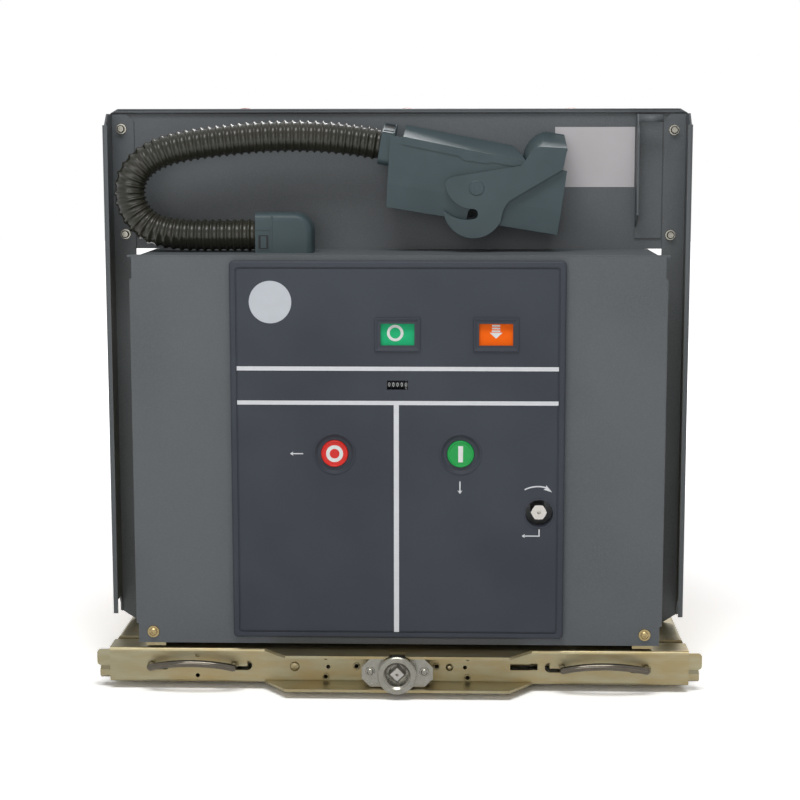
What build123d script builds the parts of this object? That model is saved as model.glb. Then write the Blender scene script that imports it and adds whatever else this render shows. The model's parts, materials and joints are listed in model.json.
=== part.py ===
"""Indoor vacuum circuit breaker on a withdrawable truck, open and discharged, in millimetres.

+X is to the right of someone facing the front, +Y runs back towards the contacts, +Z is up.
The wheels stand on z = 0 and the origin is the centre of the footprint. Depths are measured
back from the front face of the sheet cover.
"""
import os
from math import asin, cos, degrees, radians, sin, sqrt, tan

from build123d import *

os.makedirs("parts", exist_ok=True)

# ---------------------------------------------------------------- driving dimensions
# reach of the whole breaker, from the front face of the cover
front_reach = 38.0
contact_reach = 216.0  # from a pole's axis to the tips of its contacts

# truck
beam_width = 650.0
beam_bottom = 8.0
beam_height = 40.0
beam_sheet = 3.0
beam_depth = 34.0
beam_to_truck = 6.0
chassis_top = 50.0
chassis_bottom = 6.0
chassis_width = 646.0
chassis_end = 560.0
rail_flange = 42.0
crossplate_depth = 62.0
wheel_radius = 22.0
wheel_width = 14.0
wheel_depths = (112.0, 484.0)
axle_radius = 8.0
racking_travel = 200.0

# front trough and racking socket
trough_half_width = 150.0
trough_lip_half_width = 124.0
trough_lower_reach = 34.0
trough_upper_reach = 30.0
screw_height = 28.0
socket_radius = 21.3
socket_bore = 12.9
screw_radius = 10.0
screw_square = 13.5
bracket_width = 79.0
bracket_height = 32.0
bracket_depth = 26.0

# draw-out handles and locking tongues
handle_outer = 277.0
handle_inner = 184.0
handle_rod_radius = 4.0
handle_reach = 22.0
handle_rise = 6.0
latch_travel = 14.0
tongue_tip = 340.0
tongue_bottom = 26.0
tongue_height = 18.4

# mechanism box
cover_width = 588.0
cover_height = 433.0
cover_bottom = 54.0
cover_sheet = 2.0
cover_return = 20.0
cover_notch = 2.6
cover_opening_width = 352.0
cover_opening_height = 385.0
box_width = 567.0
box_depth = 293.0
box_sheet = 2.5
roof_lip_width = 592.0
inner_plate_half_gap = 130.0
inner_plate_top = 450.0

# face panel
panel_width = 367.0
panel_height = 420.5
panel_bottom = 63.0
panel_thickness = 9.0
panel_wall = 3.0
panel_corner = 5.0
window_width = 37.0
window_height = 24.0
window_height_above_floor = 403.4
window_frame = 5.6
spring_window_x = 107.4
counter_height = 347.8
counter_window_width = 23.0
counter_window_height = 10.2
button_x = 69.3
button_z = 271.6
button_radius = 14.9
button_dish_radius = 22.0
button_travel = 6.0
charging_x = 156.0
charging_z = 205.6
charging_radius = 8.0
charging_recess_radius = 15.2

# partition and shields
partition_shift = -3.7
partition_half_width = 329.5
partition_depth = 120.0
partition_sheet = 2.5
partition_top = 648.7
hem_height = 5.4
hem_reach = 3.5
shield_sheet = 2.0
shield_front = 68.0
shield_flange = 27.0
shield_return = 5.6
shield_front_top = 630.0
shield_front_bottom = 69.0

# poles and contacts
phase_spacing = 210.0
pole_depth = 400.0
pole_bottom = 190.0
pole_top = 654.7
pole_radius = 54.0
pole_belly = 62.0
pole_bore = 33.0
lower_contact = 280.0
contact_spacing = 275.0
arm_radius = 21.0
contact_bore = 24.5
contact_outer = 41.0
contact_length = 66.0
contact_fingers = 16

# operating mechanism
contact_stroke = 14.5
shaft_depth = 262.0
shaft_height = 165.0
shaft_radius = 15.0
lever_thickness = 10.0
cam_depth = 150.0
cam_height = 300.0
cam_radius = 12.5
crank_radius = 40.0

# secondary plug, elbow and conduit
plug_corner_x = -14.4
plug_corner_z = 539.5
plug_tilt = 9.25
plug_front = 54.0
plug_depth = 58.0
plug_length = 192.8
plug_left_height = 79.0
plug_right_height = 71.3
plug_lean = 8.2
plug_inlet_height = 68.0
collar_size = 46.0
collar_length = 15.0
lever_pivot_x = 86.0
lever_pivot_z = 560.6
lever_sheet = 5.0
lever_bow_wall = 3.3
cap_lip = 1.0  # how far the cap's skirt stands in front of the housing
cap_seam = 0.1
cap_start, cap_end = 6.4, 145.0
cap_rear_left, cap_rear_right = 93.0, 88.8
lever_bar_inner = 68.6
lever_bar_outer = 99.8
hose_radius = 18.0
elbow_right = -95.5
elbow_left = -159.5
elbow_height = 44.0
elbow_front = 40.0
elbow_depth = 44.0

# clearances
running = 0.05  # shafts in their bearings, on the radius
sliding = 0.3  # flat or round faces that pass each other
lever_gap = cap_lip + sliding
lever_journal = 6.0
cap_sweep_radius = 62.0
free = 1.0  # openings round levers and rods, on each side

# ---------------------------------------------------------------- places that follow
rear_reach = pole_depth + contact_reach
cover_front = (front_reach - rear_reach) / 2
cover_top = cover_bottom + cover_height
roof_top = cover_top + cover_sheet
beam_top = beam_bottom + beam_height
rail_outer = chassis_width / 2
rail_inner = rail_outer - rail_flange
box_side = box_width / 2
upper_contact = lower_contact + contact_spacing
phases = {"left": -phase_spacing, "centre": 0.0, "right": phase_spacing}
lever_length = pole_depth - shaft_depth
lever_sag = degrees(asin(contact_stroke / 2 / lever_length))
rod_pin_z = shaft_height - contact_stroke / 2
panel_centre_z = panel_bottom + panel_height / 2


def back(depth):
    """The Y of a plane that lies a given depth behind the front face of the cover."""
    return cover_front + depth


def front_plane(depth, x=0.0, z=0.0):
    """A plane facing the front: local x is X, local y is Z, and -amount extrudes to the back."""
    return Plane(origin=(x, back(depth), z), x_dir=(1, 0, 0), z_dir=(0, -1, 0))


def side_plane(x, depth=0.0, z=0.0):
    """A plane facing right: local x is Y, local y is Z, and an extrusion runs towards +X."""
    return Plane(origin=(x, back(depth), z), x_dir=(0, 1, 0), z_dir=(1, 0, 0))


def span(x, depth, z, mode=Mode.ADD):
    """A plain block of sheet or bar between three pairs of limits."""
    centre = (sum(x) / 2, back(sum(depth) / 2), sum(z) / 2)
    with Locations(centre):
        Box(x[1] - x[0], depth[1] - depth[0], z[1] - z[0], mode=mode)


def rod(plane, radius, length, mode=Mode.ADD):
    """A round bar or hole from a plane, along its normal."""
    with BuildSketch(plane) as section:
        Circle(radius)
    extrude(section.sketch, amount=length, mode=mode)


def save(piece, name):
    piece.part.label = name
    export_step(piece.part, f"parts/{name}.step")


# ---------------------------------------------------------------- truck
def side_rail(side):
    """Pressed side rail: an upright web, a wide top flange and the two axles of its wheels."""
    web = side * rail_outer
    inward = -side
    with BuildPart() as rail:
        with BuildSketch(front_plane(beam_depth + beam_to_truck)):
            with BuildLine():
                FilletPolyline(
                    (web, chassis_bottom),
                    (web, chassis_top),
                    (web + inward * rail_flange, chassis_top),
                    radius=beam_sheet + 1,
                )
                offset(amount=beam_sheet, side=Side.RIGHT if side < 0 else Side.LEFT)
            make_face()
        extrude(amount=-(chassis_end - beam_depth - beam_to_truck))
        for depth in wheel_depths:
            axle_start = side * (rail_outer - beam_sheet)
            shoulder = Plane(origin=(axle_start, back(depth), wheel_radius), z_dir=(inward, 0, 0))
            rod(shoulder, axle_radius + 4, 3.0)
            rod(shoulder, axle_radius, 3.0 + wheel_width + 2 * sliding)
            rod(shoulder.offset(3.0 + wheel_width + 2 * sliding), axle_radius + 3, 2.5)
    return rail


def wheel(side, depth):
    """Plain truck wheel with a rounded tread and a bore that turns on its axle."""
    inner_face = side * (rail_outer - beam_sheet - 3.0 - sliding)
    with BuildPart() as disc:
        hub = Plane(origin=(inner_face, back(depth), wheel_radius), z_dir=(-side, 0, 0))
        with BuildSketch(hub):
            Circle(wheel_radius)
            Circle(axle_radius + running, mode=Mode.SUBTRACT)
        extrude(amount=wheel_width)
        treads = disc.edges().filter_by(GeomType.CIRCLE)
        fillet(treads.sort_by(lambda edge: edge.radius)[-2:], 1.5)
        with BuildSketch(hub.offset(wheel_width)):
            Circle(wheel_radius - 5)
            Circle(axle_radius + 5, mode=Mode.SUBTRACT)
        extrude(amount=-2.0, mode=Mode.SUBTRACT)
    return disc


for side_name, side in (("left", -1), ("right", 1)):
    save(side_rail(side), f"{side_name}_rail")
    for row_name, depth in zip(("front", "rear"), wheel_depths):
        save(wheel(side, depth), f"{row_name}_{side_name}_wheel")

guide_inner = rail_inner + 3.0
guide_height = (beam_bottom + beam_height / 2 - 12, beam_bottom + beam_height / 2 + 12)
nut_half_width = 24.0
nut_depth = (crossplate_depth + beam_sheet, crossplate_depth + beam_sheet + 30)

with BuildPart() as chassis_deck:
    deck_low = chassis_top - beam_sheet
    span((-rail_inner, rail_inner), (crossplate_depth, chassis_end), (deck_low, chassis_top))
    inside = rail_outer - beam_sheet - 1
    for depth in (crossplate_depth, chassis_end - beam_sheet - 6):
        span((-inside, inside), (depth, depth + beam_sheet), (beam_bottom + 4, deck_low))
    front_face = front_plane(crossplate_depth)
    with BuildSketch(front_face):
        with Locations((0, screw_height)):
            Circle(screw_radius + 4)
        with Locations((-guide_inner - 1.5, sum(guide_height) / 2), (guide_inner + 1.5, sum(guide_height) / 2)):
            Rectangle(beam_sheet + 2 * free, guide_height[1] - guide_height[0] + 2 * free)
    extrude(amount=-beam_sheet, mode=Mode.SUBTRACT)
    with BuildSketch(Plane.XY.offset(chassis_top)):
        with Locations((0, back(pole_depth))):
            with GridLocations(phase_spacing, 1, 3, 1):
                SlotOverall(90, 36)
    extrude(amount=-beam_sheet, mode=Mode.SUBTRACT)
save(chassis_deck, "chassis_deck")

with BuildPart() as racking_nut:
    with BuildSketch(front_plane(nut_depth[0], z=screw_height)):
        RectangleRounded(2 * nut_half_width, 32, 4)
        Circle(screw_radius + running, mode=Mode.SUBTRACT)
    extrude(amount=-(nut_depth[1] - nut_depth[0]))
save(racking_nut, "racking_nut")

# ---------------------------------------------------------------- front beam
slot_half_height = 5.6
latch_bar_front = beam_sheet + sliding
with BuildPart() as front_beam:
    with BuildSketch(side_plane(-beam_width / 2)):
        with BuildLine():
            FilletPolyline(
                (beam_depth, beam_bottom),
                (0, beam_bottom),
                (0, beam_top),
                (beam_depth, beam_top),
                radius=beam_sheet + 1,
            )
            offset(amount=beam_sheet, side=Side.RIGHT)
        make_face()
    extrude(amount=beam_width)
    # the middle of the channel opens forward instead
    for low, reach in ((beam_bottom, trough_lower_reach), (beam_top - beam_sheet, trough_upper_reach)):
        with BuildSketch(Plane.XY.offset(low)):
            Polygon(
                (-trough_half_width, back(beam_sheet)),
                (-trough_half_width, back(0)),
                (-trough_lip_half_width, back(-reach)),
                (trough_lip_half_width, back(-reach)),
                (trough_half_width, back(0)),
                (trough_half_width, back(beam_sheet)),
                align=None,
            )
        extrude(amount=beam_sheet)
    # guide bars that run back inside the side rails
    for side in (-1, 1):
        bar = sorted((side * guide_inner, side * (guide_inner + beam_sheet)))
        span(bar, (12, beam_depth), (beam_bottom + 1, beam_top - 1))
        span(bar, (beam_depth - 1, 300), guide_height)
        # slots for the legs of the handle
        with BuildSketch(front_plane(0)):
            for leg in (handle_outer, handle_inner):
                with Locations((side * (leg - latch_travel / 2), screw_height)):
                    SlotOverall(latch_travel + 2 * slot_half_height, 2 * slot_half_height)
        extrude(amount=-beam_sheet, mode=Mode.SUBTRACT)
        # hexagon head below the tongue
        head = Plane(origin=(side * beam_width / 2, back(12), beam_bottom + 9), z_dir=(side, 0, 0))
        with BuildSketch(head):
            RegularPolygon(7, 6)
        extrude(amount=12.5)
    # two tapped holes above and below the left handle, and the small holes of the trough
    with BuildSketch(front_plane(0)):
        with Locations((-225.8, 39.2), (-225.8, 16.0)):
            Circle(2.4)
        with Locations((-78.5, 27.2), (-81.3, 15.8), (-81.4, 37.5), (-46.5, 28.2)):
            Circle(2.3)
        with Locations((43.3, 28.6), (75.1, 27.4), (78.0, 15.7), (78.0, 37.5)):
            Circle(2.3)
        with Locations((137.0, 28.2)):
            Rectangle(22.4, 7.0)
        with Locations((152.3, 28.8)):
            Rectangle(8.2, 7.6)
    extrude(amount=-beam_sheet, mode=Mode.SUBTRACT)
    rod(front_plane(0, z=screw_height), 15.0 + 0.2, -beam_sheet, mode=Mode.SUBTRACT)
    # clearance in the lower lip round the socket
    rod(front_plane(-trough_lower_reach - 1, z=screw_height), socket_radius + 0.6, -22, mode=Mode.SUBTRACT)
save(front_beam, "front_beam")

with BuildPart() as racking_socket:
    bracket_plane = front_plane(-bracket_depth, z=screw_height + 0.2)
    with BuildSketch(bracket_plane):
        Rectangle(bracket_width, bracket_height)
        chamfer(vertices(), 9.5)
        with Locations((-30, 1.4), (30, 1.4)):
            Circle(3.2, mode=Mode.SUBTRACT)
    extrude(amount=-3.0)
    rod(front_plane(-front_reach, z=screw_height), socket_radius, -(front_reach - bracket_depth))
    rod(front_plane(-bracket_depth, z=screw_height), 15.0, -(bracket_depth + beam_sheet))
    rod(front_plane(-front_reach, z=screw_height), socket_bore, -(front_reach - 18), mode=Mode.SUBTRACT)
    rod(front_plane(-18, z=screw_height), 8.0 + running, -(18 + beam_sheet), mode=Mode.SUBTRACT)
    rim = racking_socket.edges().filter_by(GeomType.CIRCLE).filter_by(lambda e: abs(e.radius - socket_radius) < 0.01)
    chamfer(rim.sort_by(Axis.Y)[0], 1.2)
    mouth = racking_socket.edges().filter_by(GeomType.CIRCLE).filter_by(lambda e: abs(e.radius - socket_bore) < 0.01)
    chamfer(mouth.sort_by(Axis.Y)[0], 2.4)
    # side legs carry the bracket on the web of the beam
    for side in (-1, 1):
        leg = sorted((side * (bracket_width / 2 - 7), side * (bracket_width / 2 - 4)))
        span(leg, (-bracket_depth + 3, 0), (screw_height - 6, screw_height + 7))
save(racking_socket, "racking_socket")

with BuildPart() as racking_screw:
    with BuildSketch(front_plane(-front_reach + 6, z=screw_height)):
        with Locations(Rotation(0, 0, 45)):
            Rectangle(screw_square, screw_square)
    extrude(amount=-(front_reach - 6 - 18 - sliding))
    chamfer(racking_screw.faces().sort_by(Axis.Y)[0].edges(), 1.2)
    rod(front_plane(-18 - sliding, z=screw_height), 8.0, -(18 + beam_sheet + 2 * sliding))
    rod(front_plane(beam_sheet + sliding, z=screw_height), 13.0, -8)
    rod(front_plane(beam_sheet + sliding + 8, z=screw_height), screw_radius, -300)
    rod(front_plane(-front_reach + 6, z=screw_height), 1.8, -8, mode=Mode.SUBTRACT)
save(racking_screw, "racking_screw")


def latch(side):
    """Locking tongue, its sliding bar behind the beam and the bow handle that moves it."""
    inner_end = handle_inner - 14
    with BuildPart() as slider:
        bar = sorted((side * inner_end, side * tongue_tip))
        with BuildSketch(front_plane(latch_bar_front)):
            with Locations(((bar[0] + bar[1]) / 2, tongue_bottom + tongue_height / 2)):
                Rectangle(bar[1] - bar[0], tongue_height)
            tip = vertices().sort_by(Axis.X)[-2:] if side > 0 else vertices().sort_by(Axis.X)[:2]
            fillet(tip, 4)
        extrude(amount=-beam_sheet)
        leg_front = -handle_reach + handle_rod_radius * 2
        root = (side * handle_outer, back(latch_bar_front + 1), screw_height)
        corner = (side * handle_outer, back(leg_front), screw_height + 1)
        crown = (side * (handle_outer + handle_inner) / 2, back(-handle_reach), screw_height + handle_rise + 2)
        far_corner = (side * handle_inner, back(leg_front), screw_height + 1)
        far_root = (side * handle_inner, back(latch_bar_front + 1), screw_height)
        with BuildLine() as bow:
            arch = ThreePointArc(corner, crown, far_corner)
            Line(root, corner)
            Line(far_corner, far_root)
        with BuildSketch(Plane(origin=root, z_dir=(0, -1, 0))):
            Circle(handle_rod_radius)
        sweep(path=bow.wire(), transition=Transition.ROUND)
    return slider


save(latch(-1), "left_latch")
save(latch(1), "right_latch")

# ---------------------------------------------------------------- mechanism box
side_inner = box_side - box_sheet
with BuildPart() as box_sides:
    with BuildSketch(Plane.XY.offset(chassis_top)):
        for side in (-1, 1):
            with BuildLine():
                Polyline(
                    (side * box_side, back(box_depth)),
                    (side * box_side, back(cover_sheet)),
                    (side * (box_side - 22), back(cover_sheet)),
                    (side * (box_side - 22), back(cover_sheet + box_sheet)),
                    (side * side_inner, back(cover_sheet + box_sheet)),
                    (side * side_inner, back(box_depth)),
                    close=True,
                )
            make_face()
    extrude(amount=cover_top - chassis_top)
    for side in (-1, 1):
        with BuildSketch(side_plane(side * box_side, 70, 250)):
            with GridLocations(0.1, 120, 1, 2):
                SlotOverall(60, 12)
        extrude(amount=-side * box_sheet, mode=Mode.SUBTRACT)
save(box_sides, "box_sides")

with BuildPart() as box_roof:
    with BuildSketch(Plane.XY.offset(cover_top)):
        with Locations((0, back((0.6 + box_depth) / 2))):
            Rectangle(box_width, box_depth - 0.6)
        with Locations((0, back(6.3))):
            Rectangle(roof_lip_width, 11.4)
        conduit_x = elbow_left + 41
        with Locations((conduit_x, back(elbow_front + elbow_depth / 2))):
            Circle(13, mode=Mode.SUBTRACT)
    extrude(amount=cover_sheet)
save(box_roof, "box_roof")

bearing_x = phase_spacing + 20
with BuildPart() as box_back:
    span((-side_inner, side_inner), (box_depth - box_sheet, box_depth), (chassis_top, cover_top))
    with BuildSketch(front_plane(box_depth - box_sheet)):
        with Locations((0, shaft_height)):
            with GridLocations(phase_spacing, 1, 3, 1):
                Rectangle(lever_thickness + 8 * free, 64)
                fillet(vertices(), 4)
    extrude(amount=-box_sheet, mode=Mode.SUBTRACT)
    for side in (-1, 1):
        with BuildSketch(side_plane(side * bearing_x - 7)):
            with BuildLine():
                Polyline(
                    (box_depth - box_sheet, shaft_height - 42),
                    (shaft_depth, shaft_height - 24),
                    (shaft_depth - 24, shaft_height - 8),
                    (shaft_depth - 24, shaft_height + 8),
                    (shaft_depth, shaft_height + 24),
                    (box_depth - box_sheet, shaft_height + 42),
                    close=True,
                )
            make_face()
            with Locations((shaft_depth, shaft_height)):
                Circle(shaft_radius + running, mode=Mode.SUBTRACT)
        extrude(amount=14)
save(box_back, "box_back")

with BuildPart() as inner_plates:
    for x in (-inner_plate_half_gap, inner_plate_half_gap):
        with BuildSketch(side_plane(x)):
            with BuildLine():
                FilletPolyline(
                    (66, chassis_top),
                    (30, 120),
                    (30, inner_plate_top - 40),
                    (60, inner_plate_top),
                    (210, inner_plate_top),
                    (250, 380),
                    (box_depth - box_sheet, 230),
                    (box_depth - box_sheet, chassis_top),
                    radius=12,
                    close=True,
                )
            make_face()
            with Locations((shaft_depth, shaft_height)):
                Circle(shaft_radius + free, mode=Mode.SUBTRACT)
            with Locations((cam_depth, cam_height)):
                Circle(cam_radius + running, mode=Mode.SUBTRACT)
        extrude(amount=4)
save(inner_plates, "inner_plates")

with BuildPart() as front_cover:
    cover_side = cover_width / 2
    centre_z = cover_bottom + cover_height / 2
    with BuildSketch(front_plane(0)):
        with Locations((0, centre_z)):
            Rectangle(cover_width, cover_height)
        for side in (-1, 1):
            for z, height in ((cover_bottom + 11, 22), (cover_top - 12, 24)):
                with Locations((side * (cover_side - cover_notch / 2), z)):
                    Rectangle(cover_notch, height, mode=Mode.SUBTRACT)
        with Locations((0, panel_centre_z)):
            RectangleRounded(cover_opening_width, cover_opening_height, 6, mode=Mode.SUBTRACT)
        with Locations((-274.8, 66.6), (274.8, 66.6)):
            Circle(3.2, mode=Mode.SUBTRACT)
    extrude(amount=-cover_sheet)
    for side in (-1, 1):
        wall = sorted((side * cover_side, side * (cover_side - cover_sheet)))
        span(wall, (0, cover_return), (cover_bottom + 22, cover_top - 24))
    bend = front_cover.edges().filter_by(Axis.Z).group_by(Axis.Y)[0]
    outer = [edge for edge in bend if abs(abs(edge.center().X) - cover_side) < 0.1]
    fillet([edge for edge in outer if edge.length > 300], 1.2)
    span((-cover_side + 36, cover_side - 36), (cover_sheet, cover_return), (cover_bottom, cover_bottom + 2))
save(front_cover, "front_cover")

# ---------------------------------------------------------------- face panel
windows = (
    (0.0, window_height_above_floor, window_width, window_height),
    (spring_window_x, window_height_above_floor, window_width, window_height),
)
with BuildPart() as face_panel:
    with BuildSketch(front_plane(0, z=panel_centre_z)):
        RectangleRounded(panel_width, panel_height, panel_corner)
    extrude(amount=panel_thickness)
    rim = face_panel.faces().sort_by(Axis.Y)[0].edges()
    fillet(rim, 2.5)
    with BuildSketch(front_plane(0, z=panel_centre_z)):
        RectangleRounded(panel_width - 2 * panel_wall, panel_height - 2 * panel_wall, 3)
    extrude(amount=panel_thickness - panel_wall, mode=Mode.SUBTRACT)
    # groove that frames the raised inner face
    with BuildSketch(front_plane(-panel_thickness, z=panel_centre_z)):
        RectangleRounded(panel_width - 13, panel_height - 13, 4)
        RectangleRounded(panel_width - 17.4, panel_height - 17.4, 3, mode=Mode.SUBTRACT)
    extrude(amount=-1.4, mode=Mode.SUBTRACT)
    # frames and openings of the two windows and of the counter
    with BuildSketch(front_plane(-panel_thickness)):
        for x, z, width, height in windows:
            with Locations((x, z)):
                RectangleRounded(width + 2 * window_frame, height + 1.7 * window_frame, 1.5)
    extrude(amount=0.8)
    with BuildSketch(front_plane(-panel_thickness - 0.8)):
        for x, z, width, height in windows:
            with Locations((x, z)):
                Rectangle(width, height)
        with Locations((0, counter_height)):
            Rectangle(counter_window_width, counter_window_height)
    extrude(amount=-panel_thickness, mode=Mode.SUBTRACT)
    # guide tubes of the buttons and the well of the charging shaft
    wells = ((-button_x, button_z), (button_x, button_z), (charging_x, charging_z))
    with BuildSketch(front_plane(-panel_thickness + panel_wall)):
        for x, z in wells:
            with Locations((x, z)):
                Circle(charging_recess_radius + 2.8)
    extrude(amount=-(panel_thickness - panel_wall + 8))
    with BuildSketch(front_plane(-panel_thickness)):
        for x, z in wells:
            with Locations((x, z)):
                Circle(charging_recess_radius)
    extrude(amount=-(panel_thickness + 8), mode=Mode.SUBTRACT)
    for x in (-button_x, button_x):
        dish = Plane(origin=(x, back(-panel_thickness), button_z), z_dir=(0, 1, 0))
        with BuildSketch(dish):
            Circle(button_dish_radius)
        extrude(amount=2.0, taper=60, mode=Mode.SUBTRACT)
save(face_panel, "face_panel")


def push_button(x):
    """Push button with a domed head, sliding in its tube, and a stem into the mechanism."""
    with BuildPart() as button:
        rod(front_plane(4, x, button_z), button_radius, panel_thickness + 3.6)
        head = button.edges().filter_by(GeomType.CIRCLE).sort_by(Axis.Y)[0]
        fillet(head, 1.6)
        rod(front_plane(4, x, button_z), 4.0, -36)
    return button


save(push_button(-button_x), "trip_button")
save(push_button(button_x), "close_button")

flag_depth = -panel_thickness + panel_wall + 0.6
flag_step = window_height + 3
flag_low = window_height_above_floor - window_height / 2 - flag_step
flag_high = window_height_above_floor + window_height / 2 + 1


def flag(x):
    """Two-field flag behind a window, on an arm that goes back to the mechanism."""
    with BuildPart() as plate:
        span((x - window_width / 2 - 1.5, x + window_width / 2 + 1.5), (flag_depth, flag_depth + 1.2), (flag_low, flag_high))
        span((x - 5, x + 5), (flag_depth + 1.2, 60), (flag_low, flag_low + 4))
    return plate


save(flag(0.0), "position_flag")
save(flag(spring_window_x), "spring_flag")

counter_wheel_radius = 8.6
counter_axis_depth = flag_depth + counter_wheel_radius + 0.4
digit_width = counter_window_width / 5
with BuildPart() as counter_case:
    case_x = counter_window_width / 2 + 3
    span((-case_x, case_x), (flag_depth, 18), (counter_height - 11.5, counter_height + 11.5))
    cavity_x = case_x - 2
    span((-cavity_x, cavity_x), (flag_depth, 16), (counter_height - 9.5, counter_height + 9.5), Mode.SUBTRACT)
    axle = side_plane(-case_x, counter_axis_depth, counter_height)
    rod(axle, 2.5, 2 * case_x)
    for index in range(4):
        start = -counter_window_width / 2 + index * digit_width
        rod(side_plane(start + 0.2, counter_axis_depth, counter_height), counter_wheel_radius, digit_width - 0.4)
save(counter_case, "counter_case")

with BuildPart() as counter_wheel:
    start = -counter_window_width / 2 + 4 * digit_width
    with BuildSketch(side_plane(start + 0.2, counter_axis_depth, counter_height)):
        Circle(counter_wheel_radius)
        Circle(2.5 + running, mode=Mode.SUBTRACT)
    extrude(amount=digit_width - 0.4)
save(counter_wheel, "counter_wheel")

# ---------------------------------------------------------------- partition and shields
partition_left = partition_shift - partition_half_width
partition_right = partition_shift + partition_half_width
with BuildPart() as partition_plate:
    span((partition_left, partition_right), (partition_depth, partition_depth + partition_sheet), (roof_top + 0.5, partition_top))
    # foot that is screwed to the roof
    span((-box_side + 4, box_side - 4), (partition_depth, partition_depth + 20), (roof_top, roof_top + partition_sheet))
    # hem folded forward along the top edge, with its corners cut off
    with BuildSketch(side_plane(partition_left)):
        hem_low = partition_top - hem_height
        with Locations((partition_depth - hem_reach / 2 + 0.5, hem_low + hem_height / 2)):
            RectangleRounded(hem_reach + 1, hem_height, 1.8)
    extrude(amount=2 * partition_half_width)
    with BuildSketch(front_plane(partition_depth - hem_reach - 1)):
        for x, inward in ((partition_left, 1), (partition_right, -1)):
            with BuildLine():
                Polyline(
                    (x, partition_top - hem_height),
                    (x, partition_top + 1),
                    (x + inward * 9, partition_top + 1),
                    (x + inward * 9, partition_top),
                    close=True,
                )
            make_face()
    extrude(amount=-(hem_reach + partition_sheet + 2), mode=Mode.SUBTRACT)
save(partition_plate, "partition_plate")


def shield(side):
    """Side shield: a flange on the partition, a wall that comes forward and a narrow return."""
    outer = partition_shift + side * partition_half_width
    inward = -side
    flange_top = partition_top - hem_height - 0.5
    with BuildPart() as guard:
        with BuildSketch(Plane.XY.offset(chassis_top)):
            with BuildLine():
                FilletPolyline(
                    (outer + inward * shield_flange, back(partition_depth)),
                    (outer, back(partition_depth)),
                    (outer, back(shield_front)),
                    (outer + inward * shield_return, back(shield_front)),
                    radius=shield_sheet + 0.5,
                )
                offset(amount=shield_sheet, side=Side.LEFT if side < 0 else Side.RIGHT)
            make_face()
        extrude(amount=flange_top - chassis_top)
        # the wall slopes down to the front and is notched over the truck's rail
        with BuildSketch(side_plane(outer - 20)):
            with BuildLine():
                Polyline(
                    (shield_front - 5, shield_front_top),
                    (shield_front + 12, shield_front_top),
                    (shield_front + 26, flange_top),
                    (shield_front + 26, flange_top + 5),
                    (shield_front - 5, flange_top + 5),
                    close=True,
                )
            make_face()
            with BuildLine():
                Polyline(
                    (shield_front - 5, chassis_top - 5),
                    (partition_depth - 5, chassis_top - 5),
                    (partition_depth - 5, 70),
                    (partition_depth - 14, 80),
                    (shield_front + 12, 80),
                    (shield_front + 5, shield_front_bottom),
                    (shield_front - 5, shield_front_bottom),
                    close=True,
                )
            make_face()
        extrude(amount=40, mode=Mode.SUBTRACT)
        # chamfers of the flange
        with BuildSketch(front_plane(shield_front - 2)):
            inner = outer + inward * shield_flange
            with BuildLine():
                Polyline((inner, flange_top), (outer + inward * (shield_flange - 8), flange_top), (inner, flange_top - 8), close=True)
            make_face()
            with BuildLine():
                Polyline((outer, chassis_top), (outer + inward * 17, chassis_top), (outer, chassis_top + 11), close=True)
            make_face()
        extrude(amount=-(partition_depth - shield_front + 4), mode=Mode.SUBTRACT)
    return guard


save(shield(-1), "left_shield")
save(shield(1), "right_shield")

with BuildPart() as cable_guide:
    guide_x = 267.5
    guide_back = partition_depth
    with BuildSketch(Plane.XY.offset(502)):
        with BuildLine():
            Polyline(
                (guide_x, back(guide_back - 24)),
                (guide_x, back(guide_back)),
                (guide_x + 30, back(guide_back)),
                (guide_x + 30, back(guide_back - 2)),
                (guide_x + 2, back(guide_back - 2)),
                (guide_x + 2, back(guide_back - 24)),
                close=True,
            )
        make_face()
    extrude(amount=partition_top - hem_height - 1 - 502)
    with BuildSketch(side_plane(guide_x - 1)):
        with BuildLine():
            Polyline((90, 500), (guide_back - 2, 500), (guide_back - 2, 515), (94, 530), (90, 530), close=True)
        make_face()
        with BuildLine():
            Polyline((90, 622), (96, 622), (guide_back - 10, 650), (90, 650), close=True)
        make_face()
    extrude(amount=5, mode=Mode.SUBTRACT)
save(cable_guide, "cable_guide")

# ---------------------------------------------------------------- poles and contacts
tube_low, tube_high = 338.0, 520.0
tube_radius = 43.0
crown_radius = 27.0


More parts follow.
